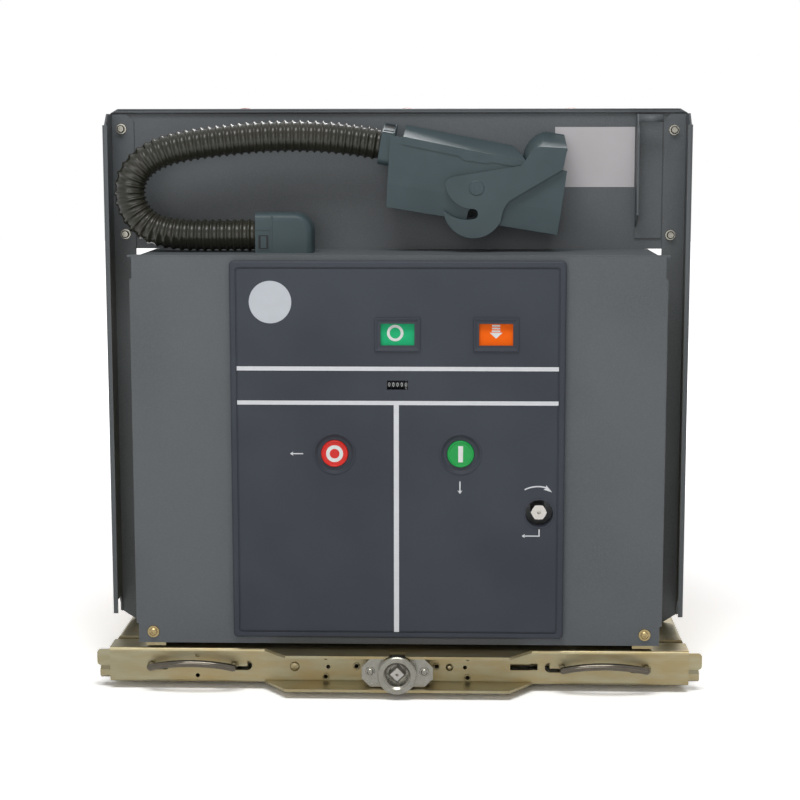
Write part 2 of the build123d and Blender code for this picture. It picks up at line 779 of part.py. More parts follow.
def pole(x):
    """Cast epoxy pole: barrel with a belly round the interrupter, two bosses and a front foot."""
    axis = (x, back(pole_depth))
    with BuildPart() as casting:
        with BuildSketch(Plane(origin=(*axis, 0), x_dir=(1, 0, 0), z_dir=(0, -1, 0))):
            with BuildLine():
                crown_low = pole_top - crown_radius + sqrt(crown_radius**2 - 24**2)
                crown_mid = pole_top - crown_radius * (1 - cos(radians(30)))
                Polyline(
                    (0, pole_top),
                    (0, pole_bottom),
                    (pole_radius, pole_bottom),
                    (pole_radius, 318),
                    (pole_belly, 334),
                    (pole_belly, 520),
                    (pole_radius, 536),
                    (pole_radius, 598),
                )
                ThreePointArc((pole_radius, 598), (pole_radius - 9, 619), (pole_radius - 28, 630))
                Line((pole_radius - 28, 630), (24, crown_low))
                ThreePointArc((24, crown_low), (crown_radius / 2, crown_mid), (0, pole_top))
            make_face()
        revolve(axis=Axis((*axis, 0), (0, 0, 1)))
        # ribs round the lower barrel lengthen the creepage path
        for z in (222, 252, 308):
            with BuildSketch(Plane(origin=(*axis, z))):
                Circle(pole_radius + 7)
            extrude(amount=5, taper=20)
        # bosses of the two contact arms
        for z in (lower_contact, upper_contact):
            rod(front_plane(pole_depth, x, z), 38, -80)
            rod(front_plane(pole_depth + 80, x, z), 33, -6)
        # foot bolted to the back of the box, with a rib between its two arms
        with BuildSketch(front_plane(box_depth, x)):
            with Locations((0, 335)):
                RectangleRounded(92, 280, 8)
        extrude(amount=-12)
        with BuildSketch(side_plane(x - 30)):
            with BuildLine():
                Polyline(
                    (box_depth, 215),
                    (pole_depth, 200),
                    (pole_depth, 246),
                    (box_depth + 22, 262),
                    (box_depth + 22, 400),
                    (pole_depth, 420),
                    (pole_depth, 462),
                    (box_depth, 450),
                    close=True,
                )
            make_face()
        extrude(amount=60)
        # hollows for the interrupter, the pull rod and the arms
        with BuildSketch(Plane(origin=(*axis, pole_bottom))):
            Circle(pole_bore)
        extrude(amount=tube_low - pole_bottom, mode=Mode.SUBTRACT)
        with BuildSketch(Plane(origin=(*axis, tube_low))):
            Circle(tube_radius + sliding)
        extrude(amount=tube_high - tube_low + sliding, mode=Mode.SUBTRACT)
        with BuildSketch(Plane(origin=(*axis, tube_high))):
            Circle(12 + sliding)
        extrude(amount=upper_contact - tube_high, mode=Mode.SUBTRACT)
        for z, start in ((lower_contact, 20), (upper_contact, -24)):
            rod(front_plane(pole_depth + start, x, z), arm_radius + sliding, -(86 - start + 1), mode=Mode.SUBTRACT)
    return casting


def contact_arms(x):
    """Upper and lower copper arm, the lower one with the plate that feeds the moving stem."""
    arm_end = pole_depth + contact_reach - contact_length + 20
    with BuildPart() as arms:
        for z, start in ((lower_contact, 21), (upper_contact, -22)):
            rod(front_plane(pole_depth + start, x, z), arm_radius, -(arm_end - pole_depth - start))
            rod(front_plane(pole_depth + 88, x, z), arm_radius + 5, -10)
        # flexible feed from the lower arm to the stem
        span((x - 15, x + 15), (pole_depth + 21, pole_depth + 26), (lower_contact + 10, 308))
        with BuildSketch(Plane.XY.offset(300)):
            with Locations((x, back(pole_depth + 4.5))):
                Rectangle(34, 43)
            with Locations((x, back(pole_depth))):
                Circle(14, mode=Mode.SUBTRACT)
        extrude(amount=8)
    return arms


def tulip(x, z):
    """Tulip contact: a ring of sprung fingers with a flared mouth for a round fixed contact."""
    start = pole_depth + contact_reach - contact_length
    with BuildPart() as cage:
        with BuildSketch(Plane(origin=(x, back(start), z), x_dir=(1, 0, 0), z_dir=(0, 0, 1))):
            with BuildLine():
                Polyline(
                    (contact_bore, 22),
                    (contact_bore, contact_length - 5),
                    (contact_bore + 4, contact_length),
                    (contact_outer - 5, contact_length),
                    (contact_outer - 3, contact_length - 8),
                    (contact_outer - 6, contact_length - 14),
                    (contact_outer - 3, contact_length - 22),
                    (contact_outer - 3, 26),
                    (contact_outer, 22),
                    (contact_outer, 6),
                    (contact_outer - 4, 0),
                    (arm_radius + running, 0),
                    (arm_radius + running, 22),
                    close=True,
                )
            make_face()
        revolve(axis=Axis((x, back(start), z), (0, 1, 0)))
        slots = front_plane(start + contact_length, x, z)
        with BuildSketch(slots):
            with PolarLocations(contact_bore + 8.5, contact_fingers):
                Rectangle(22, 1.6)
        extrude(amount=contact_length - 28, mode=Mode.SUBTRACT)
    return cage


with BuildPart() as vacuum_interrupters:
    for x in phases.values():
        tube_plane = Plane(origin=(x, back(pole_depth), tube_low))
        with BuildSketch(tube_plane):
            Circle(tube_radius - 6)
        extrude(amount=tube_high - tube_low)
        with BuildSketch(tube_plane.offset(12)):
            Circle(tube_radius)
        extrude(amount=tube_high - tube_low - 24)
        with BuildSketch(Plane(origin=(x, back(pole_depth), tube_high))):
            Circle(12)
        extrude(amount=upper_contact - arm_radius - tube_high - 0.3)
        with BuildSketch(tube_plane):
            Circle(8 + free)
        extrude(amount=60, mode=Mode.SUBTRACT)
save(vacuum_interrupters, "vacuum_interrupters")

for name, x in phases.items():
    save(pole(x), f"{name}_pole")
    save(contact_arms(x), f"{name}_contact_arms")
    for level, z in (("lower", lower_contact), ("upper", upper_contact)):
        save(tulip(x, z), f"{level}_{name}_contact")


def drive_rod(x):
    """Insulating pull rod with a fork and pin below and the moving stem above."""
    foot = Plane(origin=(x, back(pole_depth), rod_pin_z - 16))
    with BuildPart() as pull:
        with BuildSketch(foot):
            Rectangle(26, 26)
            fillet(vertices(), 3)
        extrude(amount=48)
        with BuildSketch(foot):
            Rectangle(lever_thickness + 2 * free, 30)
        extrude(amount=36, mode=Mode.SUBTRACT)
        rod(side_plane(x - 12, pole_depth, rod_pin_z), 5.0, 24)
        with BuildSketch(foot.offset(48)):
            Circle(12)
        extrude(amount=298 - rod_pin_z - 32)
        with BuildSketch(foot.offset(48 + 298 - rod_pin_z - 32)):
            Circle(8)
        extrude(amount=56)
    return pull


for name, x in phases.items():
    save(drive_rod(x), f"{name}_drive_rod")

# ---------------------------------------------------------------- operating mechanism
with BuildPart() as main_shaft:
    rod(side_plane(-bearing_x - 12, shaft_depth, shaft_height), shaft_radius, 2 * (bearing_x + 12))
    lever_plane = Plane(
        origin=(-lever_thickness / 2, back(shaft_depth), shaft_height),
        x_dir=(0, cos(radians(lever_sag)), -sin(radians(lever_sag))),
        z_dir=(1, 0, 0),
    )
    with BuildSketch(lever_plane) as lever_sketch:
        Circle(24)
        with Locations((lever_length, 0)):
            Circle(13)
        with BuildLine():
            Polyline((6, 23), (lever_length, 13), (lever_length, -13), (6, -23), close=True)
        make_face()
        with Locations((lever_length, 0)):
            SlotCenterToCenter(2.0, 2 * (5.0 + 0.15), mode=Mode.SUBTRACT)
    for x in phases.values():
        extrude(lever_sketch.sketch.moved(Location((x, 0, 0))), amount=lever_thickness)
save(main_shaft, "main_shaft")

with BuildPart() as cam_shaft:
    crank_x = -212.0
    shaft_start = crank_x
    shaft_end = inner_plate_half_gap + 4
    rod(side_plane(shaft_start, cam_depth, cam_height), cam_radius, shaft_end - shaft_start)
    # closing cam, charging gear and the crank of the closing spring
    with BuildSketch(side_plane(20, cam_depth, cam_height)):
        with Locations((10, 4)):
            Circle(34)
    extrude(amount=12)
    with BuildSketch(side_plane(60, cam_depth, cam_height)):
        Circle(60)
        with PolarLocations(60, 30):
            Rectangle(8, 6)
    extrude(amount=9)
    with BuildSketch(side_plane(crank_x, cam_depth, cam_height)):
        Circle(18)
        with Locations((0, -crank_radius)):
            Circle(14)
        with Locations((0, -crank_radius / 2)):
            Rectangle(28, crank_radius)
    extrude(amount=12)
    rod(side_plane(crank_x, cam_depth, cam_height - crank_radius), 8, 26)
save(cam_shaft, "cam_shaft")

with BuildPart() as closing_spring:
    spring_x = crank_x + 19
    spring_low = chassis_top
    base = Plane(origin=(spring_x, back(cam_depth), spring_low))
    with BuildSketch(base):
        Circle(14)
    extrude(amount=8)
    with BuildSketch(base.offset(8)):
        Circle(25)
        Circle(17, mode=Mode.SUBTRACT)
    extrude(amount=150)
    with BuildSketch(base.offset(8)):
        Circle(25)
    extrude(amount=8)
    with BuildSketch(base.offset(158)):
        Circle(25)
    extrude(amount=8)
    with BuildSketch(side_plane(spring_x - 4, cam_depth)):
        with BuildLine():
            eye = cam_height - crank_radius
            Polyline((-14, spring_low + 162), (14, spring_low + 162), (14, eye), (-14, eye), close=True)
        make_face()
        with Locations((0, eye)):
            Circle(14)
            Circle(8 + running, mode=Mode.SUBTRACT)
    extrude(amount=8)
save(closing_spring, "closing_spring")

with BuildPart() as charging_motor:
    gearbox_x = (inner_plate_half_gap + 4, inner_plate_half_gap + 70)
    span(gearbox_x, (64, 150), (charging_z - 34, charging_z + 44))
    fillet(charging_motor.edges().filter_by(Axis.Y), 6)
    rod(Plane(origin=(gearbox_x[1] - 32, back(112), charging_z + 44)), 30, 110)
    rod(front_plane(64, charging_x, charging_z), charging_radius + running, -86, mode=Mode.SUBTRACT)
save(charging_motor, "charging_motor")

with BuildPart() as charging_shaft:
    rod(front_plane(-2, charging_x, charging_z), charging_radius, -142)
    with BuildSketch(front_plane(-2, charging_x, charging_z)):
        RegularPolygon(charging_radius * 1.12, 6)
    extrude(amount=-16)
    rod(front_plane(-2, charging_x, charging_z), 2.0, -6, mode=Mode.SUBTRACT)
save(charging_shaft, "charging_shaft")

with BuildPart() as control_devices:
    plate_face = -inner_plate_half_gap + 4
    # auxiliary switch, closing and trip coils and a terminal strip, on the inner plates
    span((plate_face, plate_face + 52), (60, 112), (376, 440))
    for index in range(6):
        low = 380 + index * 10
        span((plate_face + 52, plate_face + 58), (66, 106), (low, low + 6))
    span((plate_face, plate_face + 34), (64, 112), (250, 298))
    rod(Plane(origin=(plate_face + 17, back(88), 298)), 5, 12)
    span((inner_plate_half_gap - 34, inner_plate_half_gap), (64, 112), (250, 298))
    rod(Plane(origin=(inner_plate_half_gap - 17, back(88), 298)), 5, 12)
save(control_devices, "control_devices")

with BuildPart() as opening_gear:
    # two opening springs in their cups and the oil buffer, on the back of the box
    for x in (-84, 84):
        cup = Plane(origin=(x, back(box_depth - box_sheet - 22), 236))
        with BuildSketch(cup):
            Circle(17)
            with Locations((0, 14)):
                Rectangle(26, 16)
        extrude(amount=12)
        with BuildSketch(cup.offset(12)):
            Circle(15)
            Circle(10, mode=Mode.SUBTRACT)
        extrude(amount=90)
        with BuildSketch(cup.offset(102)):
            Circle(17)
            with Locations((0, 14)):
                Rectangle(26, 16)
        extrude(amount=10)
    buffer_plane = Plane(origin=(36, back(box_depth - box_sheet - 20), 66))
    with BuildSketch(buffer_plane):
        Circle(16)
        with Locations((0, 12)):
            Rectangle(32, 16)
    extrude(amount=50)
    with BuildSketch(buffer_plane.offset(50)):
        Circle(6)
    extrude(amount=12)
save(opening_gear, "opening_gear")

# ---------------------------------------------------------------- elbow, conduit and plug
elbow_z = roof_top + 19.0
elbow_axis_depth = elbow_front + elbow_depth / 2
with BuildPart() as conduit_elbow:
    with BuildSketch(front_plane(elbow_front)):
        with BuildLine():
            Polyline(
                (elbow_right - 21, roof_top + elbow_height),
                (elbow_left, roof_top + elbow_height),
                (elbow_left, roof_top),
                (elbow_right, roof_top),
                (elbow_right, roof_top + elbow_height - 22),
            )
            ThreePointArc(
                (elbow_right, roof_top + elbow_height - 22),
                (elbow_right - 6.3, roof_top + elbow_height - 6.4),
                (elbow_right - 21, roof_top + elbow_height),
            )
        make_face()
    extrude(amount=-elbow_depth)
    tops = conduit_elbow.edges().filter_by(Axis.X).group_by(Axis.Z)[-1]
    fillet(tops, 8)
    bore_plane = Plane(origin=(elbow_left, back(elbow_axis_depth), elbow_z), z_dir=(1, 0, 0))
    rod(bore_plane, 13, 41, mode=Mode.SUBTRACT)
    rod(Plane(origin=(elbow_left + 41, back(elbow_axis_depth), roof_top)), 13, 19, mode=Mode.SUBTRACT)
save(conduit_elbow, "conduit_elbow")

# plug frame: local x along the plug, local y up, local z towards the front
tilt = radians(plug_tilt)
plug_x_dir = (cos(tilt), 0, -sin(tilt))


def plug_plane(depth):
    return Plane(origin=(plug_corner_x, back(depth), plug_corner_z), x_dir=plug_x_dir, z_dir=(0, -1, 0))


def plug_point(along, up):
    """World X and Z of a point given along and up the tilted plug."""
    x = plug_corner_x + along * cos(tilt) + up * sin(tilt)
    z = plug_corner_z - along * sin(tilt) + up * cos(tilt)
    return x, z


plug_axis_depth = plug_front + plug_depth / 2
pivot_along = (lever_pivot_x - plug_corner_x) * cos(tilt) - (lever_pivot_z - plug_corner_z) * sin(tilt)
pivot_up = (lever_pivot_x - plug_corner_x) * sin(tilt) + (lever_pivot_z - plug_corner_z) * cos(tilt)
pin_along, pin_up = pivot_along + 0.7, pivot_up - 28.9


def housing_top(along):
    """Height of the housing's top edge at a place along it."""
    return plug_left_height + (plug_right_height - plug_left_height) * (along + plug_lean) / (
        plug_length - 1.3 + plug_lean
    )


def plug_section(along):
    """Plane across the plug: local x is the depth behind its front, local y is up."""
    x, z = plug_point(along, 0)
    return Plane(origin=(x, back(plug_front), z), x_dir=(0, 1, 0), z_dir=plug_x_dir)


with BuildPart() as plug_housing:
    with BuildSketch(plug_plane(plug_front)):
        with BuildLine():
            Polyline(
                (0, 0),
                (plug_length, 0),
                (plug_length - 1.3, plug_right_height),
                (-plug_lean, plug_left_height),
                close=True,
            )
        make_face()
    extrude(amount=-plug_depth)
    # the lower part of both long sides draws in
    for side in (0, 1):
        face_depth = plug_front + side * plug_depth
        lean = 1 if side == 0 else -1
        start = Plane(
            origin=(*plug_point(-15, 0)[:1], back(face_depth), plug_point(-15, 0)[1]),
            x_dir=(0, 1, 0),
            z_dir=plug_x_dir,
        )
        with BuildSketch(start):
            with BuildLine():
                Polyline((-lean * 1, -1), (lean * 2.4, -1), (0, 26), (-lean * 1, 26), close=True)
            make_face()
        extrude(amount=plug_length + 40, mode=Mode.SUBTRACT)
    # cavity with the mating face, open below, and the slots of the socket's pins
    with BuildSketch(plug_plane(plug_front + 3.4)):
        with BuildLine():
            Polyline((4, -1), (plug_length - 4, -1), (plug_length - 4.5, 50), (3, 50), close=True)
        make_face()
    extrude(amount=-(plug_depth - 6.8), mode=Mode.SUBTRACT)
    with BuildSketch(plug_plane(plug_front - 1)):
        with Locations((pin_along, pin_up)):
            Circle(5.9)
        with Locations((pin_along, (pin_up - 1) / 2)):
            Rectangle(11.8, pin_up + 1)
    extrude(amount=-(plug_depth + 2), mode=Mode.SUBTRACT)
    # inlet of the conduit: a square collar on the left end
    inlet = Plane(
        origin=(plug_point(-3, plug_inlet_height)[0], back(plug_axis_depth), plug_point(-3, plug_inlet_height)[1]),
        x_dir=(0, 1, 0),
        z_dir=(-cos(tilt), 0, sin(tilt)),
    )
    with BuildSketch(inlet):
        RectangleRounded(collar_size, collar_size, 7)
    extrude(amount=collar_length)
    with BuildSketch(inlet.offset(collar_length)):
        Circle(13)
    extrude(amount=-collar_length, mode=Mode.SUBTRACT)
    # the top of the collar slopes down to the front, in line with the cap
    with BuildSketch(plug_section(-3 - collar_length - 1)):
        with BuildLine():
            Polyline(
                (-1, housing_top(0)),
                (plug_depth, cap_rear_left),
                (plug_depth, cap_rear_left + 20),
                (-1, cap_rear_left + 20),
                close=True,
            )
        make_face()
    extrude(amount=collar_length, mode=Mode.SUBTRACT)
    # journals of the lever, each on a low boss
    for depth, out, gap in ((plug_front, 1, lever_gap), (plug_front + plug_depth, -1, sliding)):
        with BuildSketch(plug_plane(depth)):
            with Locations((pivot_along, pivot_up)):
                Circle(lever_journal)
        extrude(amount=out * (gap + (lever_sheet + 0.7 if out > 0 else 4.3)))
    with BuildSketch(plug_plane(plug_front)):
        with Locations((pivot_along, pivot_up)):
            Circle(lever_journal + 4)
    extrude(amount=cap_lip)
save(plug_housing, "plug_housing")

with BuildPart() as plug_cap:
    # cover that rises to the back, with a skirt over the front of the housing
    for along, rear_top in ((cap_start, cap_rear_left), (cap_end, cap_rear_right)):
        seat = housing_top(along) + cap_seam
        with BuildSketch(plug_section(along)):
            with BuildLine():
                Polyline(
                    (-cap_lip, seat),
                    (-cap_lip, seat + 1.1),
                    (plug_depth - 2, rear_top),
                    (plug_depth, rear_top - 1.5),
                    (plug_depth, seat),
                    close=True,
                )
            make_face()
    loft()
    with BuildSketch(plug_plane(plug_front - cap_seam)):
        with BuildLine():
            Polyline(
                (cap_start, housing_top(cap_start) + 0.6),
                (cap_start, 71.2),
                (70.9, 68.4),
                (76.1, 64.8),
                (103.1, 65.4),
                (107.3, 67.6),
                (133.1, 67.2),
                (142.4, 70.2),
                (cap_end, housing_top(cap_end) + 0.6),
                close=True,
            )
        make_face()
    extrude(amount=cap_lip - cap_seam)
    # the right end is cut back to an arc, which the bow of the lever sweeps past
    with BuildSketch(plug_plane(plug_front - cap_lip - 1)):
        with Locations((pivot_along + 60, pivot_up + 40)):
            Rectangle(120, 80)
        with Locations((pivot_along, pivot_up)):
            Circle(cap_sweep_radius, mode=Mode.SUBTRACT)
    extrude(amount=-(plug_depth + cap_lip + 2), mode=Mode.SUBTRACT)
save(plug_cap, "plug_cap")

with BuildPart() as plug_contacts:
    block_low, block_high = 34.0, 50.0
    with BuildSketch(plug_plane(plug_front + 3.4)):
        with Locations((plug_length / 2 + 38, (block_low + block_high) / 2)):
            Rectangle(96, block_high - block_low)
        with Locations((40, (block_low + block_high) / 2)):
            Rectangle(66, block_high - block_low)
    extrude(amount=-(plug_depth - 6.8))
    below = Plane(
        origin=(plug_point(0, block_low)[0], back(plug_axis_depth), plug_point(0, block_low)[1]),
        x_dir=plug_x_dir,
        z_dir=(-sin(tilt), 0, -cos(tilt)),
    )
    with BuildSketch(below):
        for start, columns in ((40, 5), (plug_length / 2 + 38, 8)):
            with Locations((start, 0)):
                with GridLocations(11, 11, columns, 4):
                    Rectangle(3, 3)
    extrude(amount=14)
save(plug_contacts, "plug_contacts")

with BuildPart() as plug_lever:
    # two hooked cheeks joined by the bow of the handle
    pivot = (lever_pivot_x, lever_pivot_z)
    for depth, thickness in ((plug_front - lever_gap, lever_sheet), (plug_front + plug_depth + sliding, -3.6)):
        with BuildSketch(front_plane(depth, *pivot)):
            with BuildLine():
                Line((-26.0, 12.3), (49.1, 24.5))
                ThreePointArc((49.1, 24.5), (57.0, 34.0), (lever_bar_inner, 43.4))
                Line((lever_bar_inner, 43.4), (lever_bar_outer, 43.4))
                Line((lever_bar_outer, 43.4), (lever_bar_outer - 4.5, 20.6))
                Line((lever_bar_outer - 4.5, 20.6), (36.9, -13.7))
                ThreePointArc((36.9, -13.7), (29.8, -24.0), (27.0, -36.0))
                ThreePointArc((27.0, -36.0), (-2.7, -55.4), (-36.7, -24.5))
                ThreePointArc((-36.7, -24.5), (-24.0, -32.6), (-4.0, -34.4))
                ThreePointArc((-4.0, -34.4), (1.7, -28.7), (-4.0, -23.0))
                ThreePointArc((-4.0, -23.0), (-24.5, -15.2), (-34.3, 1.2))
                ThreePointArc((-34.3, 1.2), (-32.4, 8.6), (-26.0, 12.3))
            make_face()
            Circle(lever_journal + running, mode=Mode.SUBTRACT)
        extrude(amount=thickness)
    # bow of the handle, low in front and high behind
    front_bow = ((55.1, 30.6), (60.5, 40.0), (71.0, 45.2), (lever_bar_outer, 43.4))
    rear_bow = ((53.4, 36.0), (61.6, 52.5), (78.0, 62.0), (lever_bar_outer, 58.5))
    for depth, (start, middle, crest, tip) in (
        (plug_front - lever_gap - lever_sheet, front_bow),
        (plug_front + plug_depth + sliding + 3.6, rear_bow),
    ):
        with BuildSketch(front_plane(depth, *pivot)):
            with BuildLine():
                ThreePointArc(start, middle, crest)
                Line(crest, tip)
                Line(tip, (tip[0], tip[1] - lever_bow_wall))
                Line((tip[0], tip[1] - lever_bow_wall), (crest[0] + 0.4, crest[1] - lever_bow_wall))
                ThreePointArc(
                    (crest[0] + 0.4, crest[1] - lever_bow_wall),
                    (middle[0] + 0.75 * lever_bow_wall, middle[1] - 0.75 * lever_bow_wall),
                    (start[0] + lever_bow_wall, start[1] - 1),
                )
                Line((start[0] + lever_bow_wall, start[1] - 1), start)
            make_face()
    loft()
    # the rear cheek reaches up to the bow
    with BuildSketch(front_plane(plug_front + plug_depth + sliding, *pivot)):
        with BuildLine():
            ThreePointArc(*rear_bow[:3])
            Polyline(rear_bow[2], rear_bow[3], (lever_bar_outer - 4.5, 20.6), (49.1, 24.5), rear_bow[0])
        make_face()
    extrude(amount=-3.6)
save(plug_lever, "plug_lever")

hose_exit = (elbow_left, back(elbow_axis_depth), elbow_z)
inlet_face = plug_point(-3 - collar_length, plug_inlet_height)
hose_end = (inlet_face[0], back(plug_axis_depth), inlet_face[1])
before_end = (hose_end[0] - 28 * cos(tilt), hose_end[1], hose_end[2] + 28 * sin(tilt))
hose_points = [
    hose_exit,
    (-188, back(62.0), 508.0),
    (-222, back(62.4), 507.6),
    (-256, back(63.2), 508.6),
    (-284, back(64.4), 517.0),
    (-301, back(65.6), 538.0),
    (-304, back(67.0), 564.0),
    (-292, back(68.6), 586.0),
    (-268, back(70.4), 600.5),
    (-236, back(72.8), 608.0),
    (-200, back(75.2), 612.5),
    (-160, back(77.6), 616.6),
    (-120, back(79.8), 617.8),
    (-84, back(81.6), 616.6),
    before_end,
    hose_end,
]


def corner_radii(points):
    """The largest arc that each corner of a route allows."""
    radii = []
    for before, corner, after in zip(points, points[1:], points[2:]):
        first = Vector(*corner) - Vector(*before)
        second = Vector(*after) - Vector(*corner)
        turn = radians(first.get_angle(second))
        radii.append(0.45 * min(first.length, second.length) / tan(turn / 2))
    return radii


hose_radii = corner_radii(hose_points)
print("conduit radii", [round(radius) for radius in hose_radii])
with BuildPart() as conduit_hose:
    with BuildLine() as hose_route:
        FilletPolyline(*hose_points, radius=hose_radii)
    with BuildSketch(Plane(origin=hose_exit, z_dir=(-1, 0, 0))):
        Circle(hose_radius)
    sweep(path=hose_route.wire())
print("conduit length", round(hose_route.wire().length, 1))
save(conduit_hose, "conduit_hose")
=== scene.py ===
"""Indoor vacuum circuit breaker on its racking truck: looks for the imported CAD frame.

Places are given in millimetres, as the CAD has them: x to the right, depth back from the front face
of the sheet cover, z above the floor. Names in capitals that hold MM, and boxes, are in metres.
"""
import json
import math

import bmesh
import bpy
from mathutils import Matrix, Vector


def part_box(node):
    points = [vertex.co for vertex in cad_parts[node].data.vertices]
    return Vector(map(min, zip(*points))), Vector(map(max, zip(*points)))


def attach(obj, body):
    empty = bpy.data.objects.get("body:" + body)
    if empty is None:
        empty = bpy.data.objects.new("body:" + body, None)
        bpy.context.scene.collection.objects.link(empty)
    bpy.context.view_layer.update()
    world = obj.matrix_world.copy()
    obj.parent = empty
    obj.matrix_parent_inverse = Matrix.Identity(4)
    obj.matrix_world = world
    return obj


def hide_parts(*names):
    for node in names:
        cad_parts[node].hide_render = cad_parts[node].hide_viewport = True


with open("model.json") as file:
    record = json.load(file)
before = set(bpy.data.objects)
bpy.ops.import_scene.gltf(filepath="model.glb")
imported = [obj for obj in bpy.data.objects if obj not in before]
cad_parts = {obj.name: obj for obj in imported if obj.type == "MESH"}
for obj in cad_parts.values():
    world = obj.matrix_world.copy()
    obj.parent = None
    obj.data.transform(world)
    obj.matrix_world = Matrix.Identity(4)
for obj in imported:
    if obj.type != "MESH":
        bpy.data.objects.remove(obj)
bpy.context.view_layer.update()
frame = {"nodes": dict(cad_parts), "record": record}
nodes = frame["nodes"]
MM = 0.001

# ---------------------------------------------------------------- places taken from the frame
COVER_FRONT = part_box("front_cover")[0][1]
ELBOW_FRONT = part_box("conduit_elbow")[0][1]
PANEL_FRONT = COVER_FRONT - 9 * MM
PLATE_FRONT = COVER_FRONT + 120 * MM
POLE_X = (-210, 0, 210)


def at(x, depth, z):
    """A point from millimetres: x, depth behind the cover's front face, height."""
    return Vector((x * MM, COVER_FRONT + depth * MM, z * MM))


# ---------------------------------------------------------------- camera
CAMERA_PLACE = at(65, -1981, 612)
CAMERA_PITCH, CAMERA_ROLL, CAMERA_YAW = 8.09, 0.05, 1.80  # degrees; the pitch is downwards
SENSOR_WIDTH, FOCAL_LENGTH = 36.0, 81.945  # millimetres
camera_data = bpy.data.cameras.new("camera")
camera = bpy.data.objects.new("camera", camera_data)
camera_data.sensor_width = SENSOR_WIDTH
camera_data.lens = FOCAL_LENGTH
camera.location = CAMERA_PLACE
camera.rotation_euler = [math.radians(turn) for turn in (90 - CAMERA_PITCH, CAMERA_ROLL, CAMERA_YAW)]
bpy.context.scene.collection.objects.link(camera)
bpy.context.scene.camera = camera


# ---------------------------------------------------------------- node helpers
def linear(hex_colour):
    """sRGB hex to linear RGBA."""
    def one(value):
        return value / 12.92 if value <= 0.04045 else ((value + 0.055) / 1.055) ** 2.4

    parts = [int(hex_colour[i : i + 2], 16) / 255 for i in (1, 3, 5)]
    return (*[one(part) for part in parts], 1.0)


def feed(tree, node, inputs):
    """Sets each input to its value, or links it to its socket, or to each socket of a list."""
    for key, value in inputs.items():
        for one in value if isinstance(value, list) else [value]:
            if isinstance(one, bpy.types.NodeSocket):
                tree.links.new(one, node.inputs[key])
            else:
                node.inputs[key].default_value = one


def add(tree, kind, inputs=None, **settings):
    """Adds a node with its settings and links, and gives its outputs."""
    node = tree.nodes.new(kind)
    for name, value in settings.items():
        setattr(node, name, value)
    feed(tree, node, inputs or {})
    return node.outputs


# ---------------------------------------------------------------- materials
def material(name):
    """A new material: its tree, its principled shader and the object coordinates."""
    made = bpy.data.materials.new(name)
    made.use_nodes = True
    tree = made.node_tree
    shader = next(node for node in tree.nodes if node.type == "BSDF_PRINCIPLED")
    return made, tree, shader, add(tree, "ShaderNodeTexCoord")["Object"]


def pattern(size_mm, detail, roughness=0.5, stretch=None):
    """A noise by the real size of its blotches, for use in a finish."""
    return size_mm, detail, roughness, stretch


def finish(name, base, layers, rough, relief, **levels):
    """A material whose tone, gloss and relief follow patterns of a real size.

    base is its colour. Each layer is (pattern, span, colour): the span is None, or the two values of
    the pattern between which the layer's share goes from one amount to another. rough is (pattern,
    lowest, highest), relief is (pattern, height in millimetres), and levels are set on the shader.
    """
    made, tree, shader, place = material(name)
    values = {}
    for used in [layer[0] for layer in layers] + [rough[0], relief[0]]:
        if used in values:
            continue
        size_mm, detail, roughness, stretch = used
        where = place
        if stretch:
            where = add(tree, "ShaderNodeMapping", {"Vector": place, "Scale": stretch})["Vector"]
        inputs = {"Vector": where, "Scale": 1000 / size_mm, "Detail": detail, "Roughness": roughness}
        values[used] = add(tree, "ShaderNodeTexNoise", inputs)["Fac"]
    tint = linear(base)
    for used, span, colour in layers:
        share = values[used]
        if span:
            keys = ("From Min", "From Max", "To Min", "To Max")
            share = add(tree, "ShaderNodeMapRange", {"Value": share, **dict(zip(keys, span))})["Result"]
        tint = add(tree, "ShaderNodeMix", {0: share, 6: tint, 7: linear(colour)}, data_type="RGBA")[2]
    used, low, high = rough
    gloss = add(tree, "ShaderNodeMapRange", {"Value": values[used], "To Min": low, "To Max": high})["Result"]
    used, height_mm = relief
    inputs = {"Height": values[used], "Distance": height_mm * MM, "Strength": 1.0}
    normal = add(tree, "ShaderNodeBump", inputs)["Normal"]
    feed(tree, shader, {"Base Color": tint, "Roughness": gloss, "Normal": normal})
    feed(tree, shader, {key.replace("_", " "): level for key, level in levels.items()})
    return made


EVEN_SPAN = (0.35, 0.65, 0.0, 1.0)  # the middle of a pattern takes a layer from none to all of it


def polyamide(name, dark, light, lowest, highest, grain_mm=1.4, gloss=0.22):
    """Injection-moulded polyamide: satin, with a soft uneven skin and slow changes of tone."""
    grain, broad = pattern(grain_mm, 3), pattern(60, 2)
    layers = [(broad, EVEN_SPAN, light)]
    rough = (grain, lowest, highest)
    return finish(name, dark, layers, rough, (grain, 0.04), Specular_IOR_Level=gloss)


def glossy(name, dark, light, roughness, size_mm=6.0, gloss=0.3):
    """Coloured plastic, film, ink or glaze: smooth, with a slight unevenness of tone."""
    cloud = pattern(size_mm, 3)
    rough = (cloud, roughness - 0.05, roughness + 0.05)
    relief = (pattern(0.7, 2), 0.01)
    return finish(name, dark, [(cloud, None, light)], rough, relief, Specular_IOR_Level=gloss)


def bare_metal(name, dark, light, roughness):
    """Turned, cast, drawn or plated metal: its brightness wanders softly, as after handling."""
    cloud = pattern(5, 4, 0.6)
    rough = (cloud, roughness - 0.06, roughness + 0.06)
    return finish(name, dark, [(cloud, None, light)], rough, (cloud, 0.03), Metallic=1.0)


